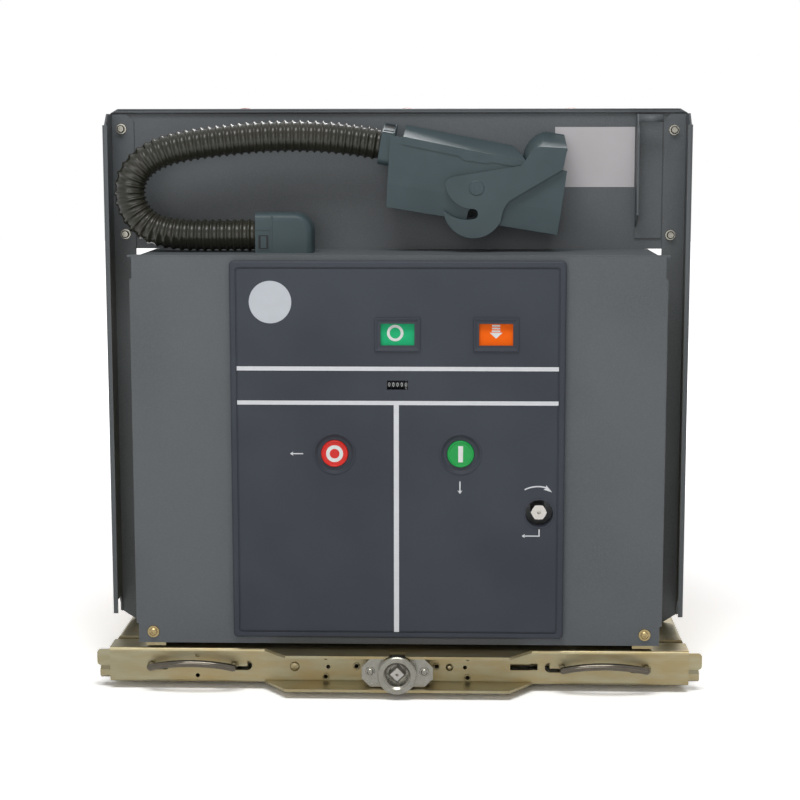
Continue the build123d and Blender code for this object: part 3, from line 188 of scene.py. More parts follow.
# polyester powder coat on steel sheet: satin, with a grain that catches light; the real grain is
# about 0.4 mm and is drawn coarser so that it shows
broad, grain = pattern(160, 2), pattern(1.1, 2)
coat = finish(
    "grey_powder_coat",
    "#54585a",
    [(broad, EVEN_SPAN, "#5c6063"), (grain, (0.45, 0.75, 0.0, 0.5), "#696d71")],
    (broad, 0.40, 0.50),
    (grain, 0.05),
    Specular_IOR_Level=0.22,
)
# moulded ABS with a spark-eroded grain: almost matt; the grain is drawn coarser than the real 0.3 mm
broad, grain = pattern(120, 2), pattern(0.9, 3, 0.6)
panel_grain = finish(
    "grained_abs",
    "#343840",
    [(broad, EVEN_SPAN, "#3b3f47")],
    (grain, 0.42, 0.56),
    (grain, 0.06),
    Specular_IOR_Level=0.2,
)
# zinc plate with a chromate film: a pale olive metal with faint yellow clouds and rolled streaks
cloud, streak = pattern(90, 3), pattern(9, 3, 0.5, (0.25, 1.0, 1.0))
zinc = finish(
    "passivated_zinc",
    "#8b8871",
    [(cloud, (0.30, 0.80, 0.25, 0.80), "#967f50"), (streak, (0.40, 0.75, 0.0, 0.6), "#9c9a85")],
    (streak, 0.30, 0.44),
    (pattern(2.0, 3), 0.03),
    Metallic=0.85,
)
# machined steel: bright, with fine uneven tool marks, drawn coarser than real
marks = pattern(1.5, 4, 0.7)
steel = finish(
    "turned_steel", "#8d8a85", [(marks, None, "#b4b1ab")], (marks, 0.22, 0.38), (marks, 0.02), Metallic=1.0
)
# cast epoxy resin in brick red: glossy, with the faint waves of the mould
wave = pattern(14, 2)
epoxy = finish(
    "cast_epoxy",
    "#8a2a1b",
    [(wave, (0.3, 0.7, 0.0, 1.0), "#9a3322")],
    (pattern(1.2, 2), 0.26, 0.38),
    (wave, 0.12),
    Specular_IOR_Level=0.4,
)
# silver-plated copper: bright, with a light brown tarnish in clouds
cloud = pattern(18, 4)
silver = finish(
    "silvered_copper",
    "#d6d3cb",
    [(cloud, (0.4, 0.7, 0.0, 1.0), "#b9ae98")],
    (cloud, 0.18, 0.34),
    (pattern(0.8, 2), 0.01),
    Metallic=1.0,
)
# moulded polyamide: the plug and its lever are satin, the conduit is shinier and almost black
plug_plastic = polyamide("grey_green_polyamide", "#38464a", "#3f4d51", 0.36, 0.48)
conduit_plastic = polyamide("corrugated_polyamide", "#26261f", "#302f27", 0.20, 0.28, 2.5, 0.30)
lever_coat = polyamide("lever_coat", "#374549", "#3e4c50", 0.32, 0.42)
black_plastic = polyamide("black_polyamide", "#15161a", "#1d1e22", 0.35, 0.50)
# acetal buttons, screen inks and label films: clean flat colours with a soft sheen
red_gloss = glossy("red_acetal", "#cc1a0f", "#d92316", 0.30)
green_gloss = glossy("green_acetal", "#00923f", "#06a048", 0.30)
ink = glossy("white_screen_ink", "#d3d5d8", "#dddfe2", 0.45)
symbol_ink = glossy("pale_symbol_ink", "#d8dbd8", "#e6e8e6", 0.35)
label_film = glossy("silver_label_film", "#b9bec4", "#c6cbd1", 0.30, 20)
label_paper = glossy("grey_label_film", "#b3b0b2", "#bcb9bb", 0.40, 30)
# the indicator flags sit behind windows, so their colours are strong and hardly shine
flag_green = glossy("flag_green", "#23b074", "#2bba7e", 0.40, gloss=0.08)
flag_red = glossy("flag_red", "#d42a1c", "#dd3423", 0.40, gloss=0.08)
flag_orange = glossy("flag_orange", "#ff640a", "#ff7014", 0.40, gloss=0.08)
flag_yellow = glossy("flag_yellow", "#e2b21c", "#ecbd28", 0.40, gloss=0.08)
# glaze is the smoothest of all, the rods are dull amber resin, and the latch windows get a near-black film
# of painted shade where their openings would be in shadow
ceramic = glossy("glazed_ceramic", "#d8d5cb", "#e4e1d8", 0.18, 25)
rod_resin = glossy("glass_filled_resin", "#b8a780", "#c4b48e", 0.45, 8)
painted_window_shade = glossy("painted_window_shade", "#0b0c0e", "#121316", 0.50)
# bare and plated metals, from the dark shine of nickel to the soft grey of castings
brass = bare_metal("machined_brass", "#a8884a", "#bd9c5a", 0.30)
cast_metal = bare_metal("cast_aluminium", "#8f9193", "#a5a7a9", 0.45)
spring_steel = bare_metal("blackened_spring_steel", "#25262a", "#34353a", 0.40)
nickel = bare_metal("bright_nickel", "#48443e", "#6a645a", 0.14)
screw_zinc = bare_metal("bright_zinc", "#75736b", "#96948b", 0.26)
yellow_zinc = bare_metal("yellow_zinc", "#857653", "#a8966f", 0.25)

finish_of_slot = {
    "grey_coated_sheet": coat,
    "zinc_plated_steel": zinc,
    "panel_plastic": panel_grain,
    "brass_nut": brass,
    "bright_steel": steel,
    "spring_steel": spring_steel,
    "cast_aluminium": cast_metal,
    "red_plastic": red_gloss,
    "green_plastic": green_gloss,
    "flag_plastic": flag_green,
    "black_plastic": black_plastic,
    "plug_plastic": plug_plastic,
    "contact_block": black_plastic,
    "lever_metal": lever_coat,
    "conduit_plastic": conduit_plastic,
    "epoxy": epoxy,
    "silvered_copper": silver,
    "insulating_rod": rod_resin,
    "ceramic": ceramic,
}
for subpart in frame["record"]["subparts"]:
    mesh = nodes[subpart["node"]].data
    mesh.materials.clear()
    mesh.materials.append(finish_of_slot[subpart["material_slot"]])
# the socket and its bracket have a clear passivation; the draw-out handles are nickel-plated rod
nodes["racking_socket"].data.materials[0] = screw_zinc
HANDLES_START = COVER_FRONT - 0.3 * MM
for side in ("left", "right"):
    latch_mesh = nodes[f"{side}_latch"].data
    latch_mesh.materials.append(nickel)
    for polygon in latch_mesh.polygons:
        if polygon.center.y < HANDLES_START:
            polygon.material_index = 1


# ---------------------------------------------------------------- mesh helpers
def link(name, mesh, finish_used, body):
    """A finished piece: linked, coloured, named and riding on its body."""
    piece = bpy.data.objects.new(name, mesh)
    bpy.context.scene.collection.objects.link(piece)
    if finish_used is not None:
        mesh.materials.clear()
        mesh.materials.append(finish_used)
    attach(piece, body)
    return piece


def link_work(name, work, finish_used, body, smooth=False):
    """Makes a bmesh into a piece, with its normals outwards."""
    bmesh.ops.recalc_face_normals(work, faces=work.faces)
    mesh = bpy.data.meshes.new(name)
    work.to_mesh(mesh)
    work.free()
    for polygon in mesh.polygons:
        polygon.use_smooth = smooth
    link(name, mesh, finish_used, body)


def walls(work, loops):
    """Side faces from each loop of vertices to the next."""
    for low, high in zip(loops, loops[1:]):
        for i in range(len(low)):
            j = (i + 1) % len(low)
            work.faces.new((low[i], high[i], high[j], low[j]))


def solid(work, outlines):
    """A closed shape through outlines of points, capped at both ends."""
    loops = [[work.verts.new(point) for point in outline] for outline in outlines]
    work.faces.new(loops[0])
    work.faces.new(loops[-1][::-1])
    walls(work, loops)


def band(work, outlines):
    """A closed band through outlines of points, of which the last joins the first."""
    loops = [[work.verts.new(point) for point in outline] for outline in outlines]
    walls(work, loops + loops[:1])


def flat(outline, y):
    """Points of an outline of (x, z) in millimetres, on the plane of that y."""
    return [Vector((x * MM, y, z * MM)) for x, z in outline]


def prism(work, outline, front, thickness):
    """A closed flat shape from an outline of (x, z), with its face towards -Y."""
    solid(work, [flat(outline, front), flat(outline, front + thickness)])


def circle(centre, radius, segments):
    """Points (x, z) round a circle."""
    turns = [2 * math.pi * i / segments for i in range(segments)]
    return [(centre[0] + radius * math.cos(a), centre[1] + radius * math.sin(a)) for a in turns]


def ring(work, centre, outer, inner, front, thickness, segments=48):
    """A flat closed ring, or a disc when its inner radius is none."""
    if inner is None:
        prism(work, circle(centre, outer, segments), front, thickness)
        return
    rear = front + thickness
    corners = ((outer, front), (inner, front), (inner, rear), (outer, rear))
    band(work, [flat(circle(centre, radius, segments), y) for radius, y in corners])


def rectangle(x0, x1, z0, z1):
    """The four corners (x, z) of a rectangle."""
    return [(x0, z0), (x1, z0), (x1, z1), (x0, z1)]


# ---------------------------------------------------------------- geometry trees
def geometry_tree(name, **sizes):
    """A new geometry tree and its named inputs, which are given as name=kind of socket."""
    tree = bpy.data.node_groups.new(name, "GeometryNodeTree")
    for label, kind in {"Geometry": "Geometry", **sizes, "Material": "Material"}.items():
        label = label.replace("_", " ")
        tree.interface.new_socket(name=label, in_out="INPUT", socket_type=f"NodeSocket{kind}")
    tree.interface.new_socket(name="Geometry", in_out="OUTPUT", socket_type="NodeSocketGeometry")
    return tree, add(tree, "NodeGroupInput")


def end_tree(tree, geometry, material_socket):
    """Makes the instances real, gives them their material and ends the tree."""
    real = add(tree, "GeometryNodeRealizeInstances", {"Geometry": geometry})[0]
    painted = add(tree, "GeometryNodeSetMaterial", {"Geometry": real, "Material": material_socket})[0]
    add(tree, "NodeGroupOutput", {"Geometry": painted})
    return tree


def apply_tree(source, tree, values, name):
    """Runs a geometry tree on an object and returns the result as a plain mesh."""
    modifier = source.modifiers.new("shape", "NODES")
    modifier.node_group = tree
    inputs = [item for item in tree.interface.items_tree if item.in_out == "INPUT"]
    sockets = {item.name: item.identifier for item in inputs}
    for key, value in values.items():
        modifier[sockets[key]] = value
    source.update_tag()
    graph = bpy.context.evaluated_depsgraph_get()
    mesh = bpy.data.meshes.new_from_object(source.evaluated_get(graph), depsgraph=graph)
    mesh.name = name
    source.modifiers.remove(modifier)
    bpy.data.objects.remove(source)
    return mesh


def points_object(name, places):
    """An object whose mesh is only points, given in millimetres."""
    mesh = bpy.data.meshes.new(name)
    mesh.from_pydata([at(*place) for place in places], [], [])
    points = bpy.data.objects.new(name, mesh)
    bpy.context.scene.collection.objects.link(points)
    return points


# ---------------------------------------------------------------- corrugated conduit
CONDUIT_ROUTE = [
    (-159.5, 62.0, 508.0),
    (-188, 62.0, 508.0),
    (-222, 62.4, 507.6),
    (-256, 63.2, 508.6),
    (-284, 64.4, 517.0),
    (-301, 65.6, 538.0),
    (-304, 67.0, 564.0),
    (-292, 68.6, 586.0),
    (-268, 70.4, 600.5),
    (-236, 72.8, 608.0),
    (-200, 75.2, 612.5),
    (-160, 77.6, 616.6),
    (-120, 79.8, 617.8),
    (-84, 81.6, 616.6),
    (-49.8, 83.0, 612.9),
    (-22.2, 83.0, 608.4),
]
CONDUIT_RADIUS = 18 * MM
CONDUIT_VALLEY = 15.9 * MM
CONDUIT_PITCH = 8.4 * MM
STEPS_IN_A_PITCH = 14.0
RIB_SHARPNESS = 1.8  # above 1 the crests are narrower than the valleys
CONDUIT_SIDES = 56


def conduit_tree():
    """Tube along a curve whose radius swells into a rib once in every pitch."""
    tree, source = geometry_tree(
        "corrugated_tube", Crest_Radius="Float", Valley_Radius="Float", Pitch="Float"
    )
    pitch = source["Pitch"]
    step = add(tree, "ShaderNodeMath", {0: pitch, 1: STEPS_IN_A_PITCH}, operation="DIVIDE")[0]
    inputs = {"Curve": source["Geometry"], "Length": step}
    points = add(tree, "GeometryNodeResampleCurve", inputs, mode="LENGTH")[0]
    run = add(tree, "GeometryNodeSplineParameter")["Length"]
    turns = add(tree, "ShaderNodeMath", {0: run, 1: pitch}, operation="DIVIDE")[0]
    angle = add(tree, "ShaderNodeMath", {0: turns, 1: 2 * math.pi}, operation="MULTIPLY")[0]
    wave = add(tree, "ShaderNodeMath", {0: angle}, operation="COSINE")[0]
    unit = add(tree, "ShaderNodeMath", {0: wave, 1: 0.5, 2: 0.5}, operation="MULTIPLY_ADD")[0]
    sharp = add(tree, "ShaderNodeMath", {0: unit, 1: RIB_SHARPNESS}, operation="POWER")[0]
    inputs = {"Value": sharp, "To Min": source["Valley Radius"], "To Max": source["Crest Radius"]}
    radius = add(tree, "ShaderNodeMapRange", inputs)["Result"]
    inputs = {"Resolution": CONDUIT_SIDES, "Radius": 1.0}
    profile = add(tree, "GeometryNodeCurvePrimitiveCircle", inputs)["Curve"]
    inputs = {"Curve": points, "Profile Curve": profile, "Scale": radius, "Fill Caps": True}
    tube = add(tree, "GeometryNodeCurveToMesh", inputs)[0]
    smooth = add(tree, "GeometryNodeSetShadeSmooth", {"Geometry": tube})[0]
    return end_tree(tree, smooth, source["Material"])


def route_curve(points, name):
    """Smooth curve that touches each leg of a route, as the filleted CAD route does."""
    data = bpy.data.curves.new(name, "CURVE")
    data.dimensions = "3D"
    spline = data.splines.new("NURBS")
    spline.points.add(len(points) - 1)
    for point, place in zip(spline.points, points):
        point.co = (*at(*place), 1.0)
    spline.order_u = 3
    spline.use_endpoint_u = True
    spline.resolution_u = 24
    curve = bpy.data.objects.new(name, data)
    bpy.context.scene.collection.objects.link(curve)
    return curve


conduit_mesh = apply_tree(
    route_curve(CONDUIT_ROUTE, "conduit_route"),
    conduit_tree(),
    {
        "Crest Radius": CONDUIT_RADIUS,
        "Valley Radius": CONDUIT_VALLEY,
        "Pitch": CONDUIT_PITCH,
        "Material": conduit_plastic,
    },
    "corrugated_conduit",
)
conduit = link("corrugated_conduit", conduit_mesh, None, "truck")
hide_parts("conduit_hose")

# ---------------------------------------------------------------- prints on the face panel
PRINT = 0.12 * MM  # thickness of a printed layer
FILM = 0.2 * MM
LABEL_SHEET = 0.25 * MM
LINE_HALF = 2.3
WELL_ARC_CENTRE = (154.5, 205.2)
WELL_ARC_RADII = (32, 31.5)  # across and up
ARROW_TO_TRIP = [
    (-118.4, 271.5), (-114.6, 274.0), (-115.6, 272.1), (-103.9, 272.1),
    (-103.9, 270.9), (-115.6, 270.9), (-114.6, 269.0),
]
ARROW_UNDER_CLOSE = [
    (68.7, 227.2), (66.0, 231.2), (68.0, 230.3), (68.0, 241.2),
    (69.4, 241.2), (69.4, 230.3), (71.4, 231.2),
]
ARROW_FROM_WELL = [
    (137.0, 180.4), (140.6, 182.8), (139.7, 181.0), (155.5, 181.0), (155.5, 188.0),
    (156.8, 188.0), (156.8, 179.8), (139.7, 179.8), (140.6, 178.0),
]
work = bmesh.new()
print_face = PANEL_FRONT - PRINT
for z in (365.9, 328.2):
    prism(work, rectangle(-176, 176, z - LINE_HALF, z + LINE_HALF), print_face, PRINT)
prism(work, rectangle(-4.1, 1.5, 70.4, 325.9), print_face, PRINT)
for outline in (ARROW_TO_TRIP, ARROW_UNDER_CLOSE, ARROW_FROM_WELL):
    prism(work, outline, print_face, PRINT)
# curved arrow over the charging well
centre_x, centre_z = WELL_ARC_CENTRE
arc = []
for i in range(13):
    turn = math.radians(118 - i * 5.5)
    across, up = WELL_ARC_RADII
    arc.append((centre_x + across * math.cos(turn), centre_z + up * math.sin(turn)))
inner = [(centre_x + (x - centre_x) * 0.955, centre_z + (z - centre_z) * 0.955) for x, z in arc]
arc, inner = [p for p in arc if p[0] < 166], [p for p in inner if p[0] < 165]
arrow_head = [(163.4, 237.6), (170.1, 229.6), (160.5, 232.6)]
prism(work, arc + arrow_head + inner[::-1], print_face, PRINT)
link_work("panel_prints", work, ink, "truck")

work = bmesh.new()
ring(work, (-138.7, 438.7), 23.2, None, PANEL_FRONT - FILM, FILM, 72)
link_work("blank_disc_label", work, label_film, "truck")
work = bmesh.new()
prism(work, rectangle(175.8, 266.5, 559.9, 627.8), PLATE_FRONT - LABEL_SHEET, LABEL_SHEET)
link_work("blank_plate_label", work, label_paper, "truck")

# ---------------------------------------------------------------- buttons, flags and counter
trip_low, trip_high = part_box("trip_button")
close_low, close_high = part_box("close_button")
BUTTON_Z = (trip_low[2] + trip_high[2]) / 2 / MM
TRIP_X = (trip_low[0] + trip_high[0]) / 2 / MM
CLOSE_X = (close_low[0] + close_high[0]) / 2 / MM
work = bmesh.new()
ring(work, (TRIP_X, BUTTON_Z), 9.4, 5.4, trip_low[1] - PRINT, PRINT)
link_work("trip_button_ring", work, symbol_ink, "trip_button")
work = bmesh.new()
bar = rectangle(CLOSE_X - 2.6, CLOSE_X + 2.6, BUTTON_Z - 9.0, BUTTON_Z + 9.0)
prism(work, bar, close_low[1] - PRINT, PRINT)
link_work("close_button_bar", work, symbol_ink, "close_button")

FIELD_OFFSET = 13.0  # from the middle of a flag to the middle of each of its two fields
for name, top_finish, low_finish in (
    ("position_flag", flag_green, flag_red),
    ("spring_flag", flag_orange, flag_yellow),
):
    low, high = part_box(name)
    front = low[1]
    middle = (low[2] + high[2]) / 2 / MM
    x0, x1 = low[0] / MM, high[0] / MM
    centre = (x0 + x1) / 2
    for part, z0, z1, field_finish in (
        ("upper", middle, high[2] / MM, top_finish),
        ("lower", low[2] / MM, middle, low_finish),
    ):
        work = bmesh.new()
        prism(work, rectangle(x0, x1, z0, z1), front - PRINT, PRINT)
        link_work(f"{name}_{part}_field", work, field_finish, name)
    work = bmesh.new()
    symbol_front = front - 2 * PRINT
    upper, lower = middle + FIELD_OFFSET, middle - FIELD_OFFSET
    if name == "position_flag":
        ring(work, (centre - 2.5, upper + 1.4), 9.0, 6.0, symbol_front, PRINT)
        prism(work, rectangle(centre - 2, centre + 2, lower - 8, lower + 8), symbol_front, PRINT)
    else:
        # an arrow head with a tail of three bars: down when charged, up when not
        for z, turn in ((upper + 2, -1), (lower, 1)):
            head = [(centre - 7, z), (centre, z + turn * 6.5), (centre + 7, z)]
            prism(work, head[::turn], symbol_front, PRINT)
            for step in range(3):
                lift = z - turn * (1.6 + 3.0 * step)
                tail = rectangle(centre - 4.5, centre + 4.5, lift - 0.9, lift + 0.9)
                prism(work, tail, symbol_front, PRINT)
    link_work(f"{name}_symbols", work, symbol_ink, name)


def digit(character, height):
    """A flat digit as a mesh in its own plane, centred."""
    data = bpy.data.curves.new("digit", "FONT")
    data.body = character
    data.size = height
    data.align_x, data.align_y = "CENTER", "CENTER"
    data.extrude = 0.05 * MM
    data.resolution_u = 4
    text = bpy.data.objects.new("digit", data)
    bpy.context.scene.collection.objects.link(text)
    graph = bpy.context.evaluated_depsgraph_get()
    mesh = bpy.data.meshes.new_from_object(text.evaluated_get(graph))
    bpy.data.objects.remove(text)
    return mesh


wheel_low, wheel_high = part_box("counter_wheel")
COUNTER_AXIS = Vector((0, (wheel_low[1] + wheel_high[1]) / 2, (wheel_low[2] + wheel_high[2]) / 2))
COUNTER_RADIUS = (wheel_high[2] - wheel_low[2]) / 2
DIGIT_HEIGHT = 6.4 * MM
DIGIT_WIDTH = 0.78  # share of its usual width
DIGIT_PITCH = 4.6 * MM
last_x = (wheel_low[0] + wheel_high[0]) / 2


def digits_on_wheels(name, figures, body):
    """Figures round a counter's wheels: (x, character, turn from the window)."""
    work = bmesh.new()
    for x, character, turn in figures:
        mesh = digit(character, DIGIT_HEIGHT)
        place = (
            Matrix.Translation(COUNTER_AXIS + Vector((x, 0, 0)))
            @ Matrix.Rotation(turn, 4, "X")
            @ Matrix.Translation((0, -COUNTER_RADIUS, 0))
            @ Matrix.Rotation(math.radians(90), 4, "X")
            @ Matrix.Diagonal((DIGIT_WIDTH, 1, 1, 1))
        )
        mesh.transform(place)
        work.from_mesh(mesh)
        bpy.data.meshes.remove(mesh)
    mesh = bpy.data.meshes.new(name)
    work.to_mesh(mesh)
    work.free()
    link(name, mesh, symbol_ink, body)


fixed = [(last_x - DIGIT_PITCH * (4 - i), "0", 0.0) for i in range(4)]
digits_on_wheels("counter_digits", fixed, "truck")
rolling = [(last_x, str(i), math.radians(-36 * i)) for i in range(10)]
digits_on_wheels("counter_wheel_digits", rolling, "counter_wheel")


# ---------------------------------------------------------------- turned shapes
def lathe(work, centre, profile, segments=40):
    """A shape turned about an axis along Y: centre (x, z), profile of (radius, depth).

    The profile starts and ends on the axis, or is closed back to its first point.
    """
    closed = profile[0][0] > 0 or profile[-1][0] > 0
    rims = []
    for radius, depth in profile:
        if radius == 0:
            rims.append([work.verts.new(at(centre[0], depth, centre[1]))] * segments)
        else:
            rims.append([work.verts.new(at(x, depth, z)) for x, z in circle(centre, radius, segments)])
    for low, high in zip(rims, rims[1:] + (rims[:1] if closed else [])):
        for i in range(segments):
            j = (i + 1) % segments
            loop = list(dict.fromkeys((low[i], low[j], high[j], high[i])))
            if len(loop) > 2:
                work.faces.new(loop)


# rivet, stud and collared holes in the trough of the beam
RIVET = [(0, -1.6), (2.6, -1.45), (4.4, -0.95), (5.5, -0.1), (5.5, 0.2), (0, 0.2)]
STUD = [(0, -2.4), (2.2, -2.4), (2.6, -2.0), (2.6, -0.6), (4.2, -0.5), (4.2, 0.2), (0, 0.2)]
HOLE_COLLAR = [(2.5, 0.2), (2.5, -1.3), (3.1, -1.5), (3.9, -1.2), (4.1, 0.2)]
work = bmesh.new()
lathe(work, (-116.2, 27.2), RIVET)
lathe(work, (57.8, 27.6), STUD)
for centre in ((-46.5, 28.2), (-81.3, 15.8), (43.3, 28.6), (78.0, 15.7)):
    lathe(work, centre, HOLE_COLLAR, 28)
link_work("trough_rivets", work, zinc, "beam", True)

# head of the lever's pivot, and the raised rims of the two buttons, by depth from the front of each
PIVOT_CENTRE = (86.0, 560.6)
PIVOT_HEAD = [
    (0, 0.6), (1.3, 0.5), (1.5, -0.5), (3.4, -0.9), (4.0, -0.3), (5.0, -0.2),
    (6.6, -0.7), (8.3, -0.6), (8.7, 0.0), (8.7, 0.3), (6.5, 0.3), (0, 0.9),
]
BUTTON_RIM = [
    (12.6, 0.3), (12.9, -0.7), (13.7, -1.0), (14.5, -0.7), (14.86, 0.3), (14.86, 1.4), (13.0, 1.4),
]
pivot_front = (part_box("plug_lever")[0][1] - COVER_FRONT) / MM
work = bmesh.new()
lathe(work, PIVOT_CENTRE, [(radius, pivot_front + depth) for radius, depth in PIVOT_HEAD])
link_work("lever_pivot_head", work, lever_coat, "plug_lever", True)
for name, low, x, rim_finish, slot_name in (
    ("trip_button", trip_low, TRIP_X, red_gloss, "red_plastic"),
    ("close_button", close_low, CLOSE_X, green_gloss, "green_plastic"),
):
    front = (low[1] - COVER_FRONT) / MM
    work = bmesh.new()
    lathe(work, (x, BUTTON_Z), [(radius, front + depth) for radius, depth in BUTTON_RIM], 64)
    link_work(f"{name}_rim", work, rim_finish, name, True)


# ---------------------------------------------------------------- raised rims on the panel
def frame_rim(work, x0, x1, z0, z1, section):
    """A mitred frame round an opening: section of (distance outwards, depth)."""
    outlines = []
    for out, depth in section:
        corners = rectangle(x0 - out, x1 + out, z0 - out, z1 + out)
        outlines.append([at(x, depth, z) for x, z in corners])
    band(work, outlines)


WINDOW_HALF_WIDTH = 18.6
WINDOW_LOW, WINDOW_HIGH = 391.3, 415.5
WINDOW_RIM = [
    (0.1, -8.4), (1.6, -9.6), (3.4, -10.3), (4.9, -10.9),
    (5.9, -10.9), (6.3, -9.9), (6.3, -9.0), (0.1, -8.2),
]
BUTTON_WELL_RIM = [(20.9, -8.9), (21.4, -9.5), (22.3, -9.7), (23.2, -9.5), (23.7, -8.9)]
CHARGING_WELL_RIM = [(15.3, -8.9), (15.5, -9.6), (16.2, -9.8), (16.9, -9.6), (17.2, -8.9)]
work = bmesh.new()
for x in (0.0, 107.4):
    left, right = x - WINDOW_HALF_WIDTH, x + WINDOW_HALF_WIDTH
    frame_rim(work, left, right, WINDOW_LOW, WINDOW_HIGH, WINDOW_RIM)
for x in (-69.3, 69.3):
    lathe(work, (x, 271.6), BUTTON_WELL_RIM, 72)
lathe(work, (156.0, 205.6), CHARGING_WELL_RIM, 56)
link_work("panel_rims", work, panel_grain, "truck")

# ---------------------------------------------------------------- rolled hem and guide tab
# the rolled edge of the partition plate's hem, and the folded tab on top of the cable guide
HEM_RADIUS = 1.5
HEM_DEPTH, HEM_HEIGHT = 117.8, 647.1
HEM_LEFT, HEM_RIGHT = -324.0, 316.6
TAB_SHEET = 1.5
GUIDE_TAB = [
    (270.0, 96.5, 641.5), (293.0, 96.5, 641.5), (296.0, 95.7, 638.5), (296.0, 94.0, 633.0),
    (268.5, 94.0, 633.0),
]
work = bmesh.new()
hem_turns = [math.radians(90 + 15 * i) for i in range(13)]
hem_outline = [
    (HEM_DEPTH + HEM_RADIUS * math.cos(a), HEM_HEIGHT + HEM_RADIUS * math.sin(a)) for a in hem_turns
]
solid(work, [[at(x, depth, z) for depth, z in hem_outline] for x in (HEM_LEFT, HEM_RIGHT)])
solid(work, [[at(x, depth + rear, z) for x, depth, z in GUIDE_TAB] for rear in (0.0, TAB_SHEET)])
link_work("hem_roll_and_guide_tab", work, coat, "truck", True)

# ---------------------------------------------------------------- latches of the plug and the elbow
PLUG_TILT = math.radians(9.25)
PLUG_CORNER = (-14.4, 539.5)
PLUG_FRONT = 54
# the collar's top slopes up from its front edge to its back edge
COLLAR_START = -1
COLLAR_RUN, COLLAR_RISE = 59, 14.35
COLLAR_FRONT_UP = 78.65
# each patch of the latch on the collar: two lengths along the plug and two shares of the slope
COLLAR_WINDOWS = ((-16.6, -5.0, 0.46, 0.80), (-16.2, -5.4, 0.20, 0.30))
COLLAR_BARS = (
    (-17.6, -16.6, 0.14, 0.86),
    (-5.0, -4.0, 0.14, 0.86),
    (-16.6, -5.0, 0.80, 0.86),
    (-16.6, -5.0, 0.30, 0.46),
    (-16.6, -5.0, 0.14, 0.20),
)
ELBOW_BARS = (
    (-157.0, -155.8, 492.2, 510.0),
    (-144.8, -143.6, 492.2, 510.0),
    (-155.8, -144.8, 508.8, 510.0),
    (-155.8, -144.8, 492.2, 493.4),
    (-159.3, -141.0, 514.4, 515.6),
    (-141.4, -140.2, 490.0, 531.5),
)
ELBOW_TONGUE = (-153.4, -147.2, 494.6, 507.6)
ELBOW_WINDOW = (-155.8, -144.8, 493.4, 508.8)


def plug_at(along, up, depth):
    """A point in the tilted plug's own directions, from its lower left corner."""
    x = PLUG_CORNER[0] + along * math.cos(PLUG_TILT) + up * math.sin(PLUG_TILT)
    z = PLUG_CORNER[1] - along * math.sin(PLUG_TILT) + up * math.cos(PLUG_TILT)
    return at(x, depth, z)


def slope(along, share, lift):
    """A point over the collar's sloping top, from its front edge to its back edge."""
    depth = COLLAR_START + COLLAR_RUN * share
    up = COLLAR_FRONT_UP + COLLAR_RISE * share
    tilt = math.atan2(COLLAR_RISE, COLLAR_RUN)
    return plug_at(along, up + lift * math.cos(tilt), PLUG_FRONT + depth - lift * math.sin(tilt))


def on_slope(work, a0, a1, s0, s1, lift):
    """A low slab on the collar's top between two lengths and two shares of its slope."""
    corners = ((a0, s0), (a1, s0), (a1, s1), (a0, s1))
    solid(work, [[slope(a, share, height) for a, share in corners] for height in (-0.3, lift)])


# the latch windows are thin near-black slabs of painted shade over the openings; the bars round them are
# real
work = bmesh.new()
dark = bmesh.new()
for patch in COLLAR_WINDOWS:
    on_slope(dark, *patch, 0.12)
for patch in COLLAR_BARS:
    on_slope(work, *patch, 0.7)
for bar in ELBOW_BARS:
    prism(work, rectangle(*bar), ELBOW_FRONT - 0.7 * MM, 0.9 * MM)
prism(work, rectangle(*ELBOW_TONGUE), ELBOW_FRONT - 0.5 * MM, 0.7 * MM)
prism(dark, rectangle(*ELBOW_WINDOW), ELBOW_FRONT - 0.12 * MM, 0.3 * MM)
link_work("latch_frames", work, plug_plastic, "truck")
link_work("latch_windows", dark, painted_window_shade, "truck")

# ---------------------------------------------------------------- screws and bolts
STRAIGHT = 0.62  # share of a head's height below its chamfered crown
CROWN = 0.38
WASHER_SIDES = 28


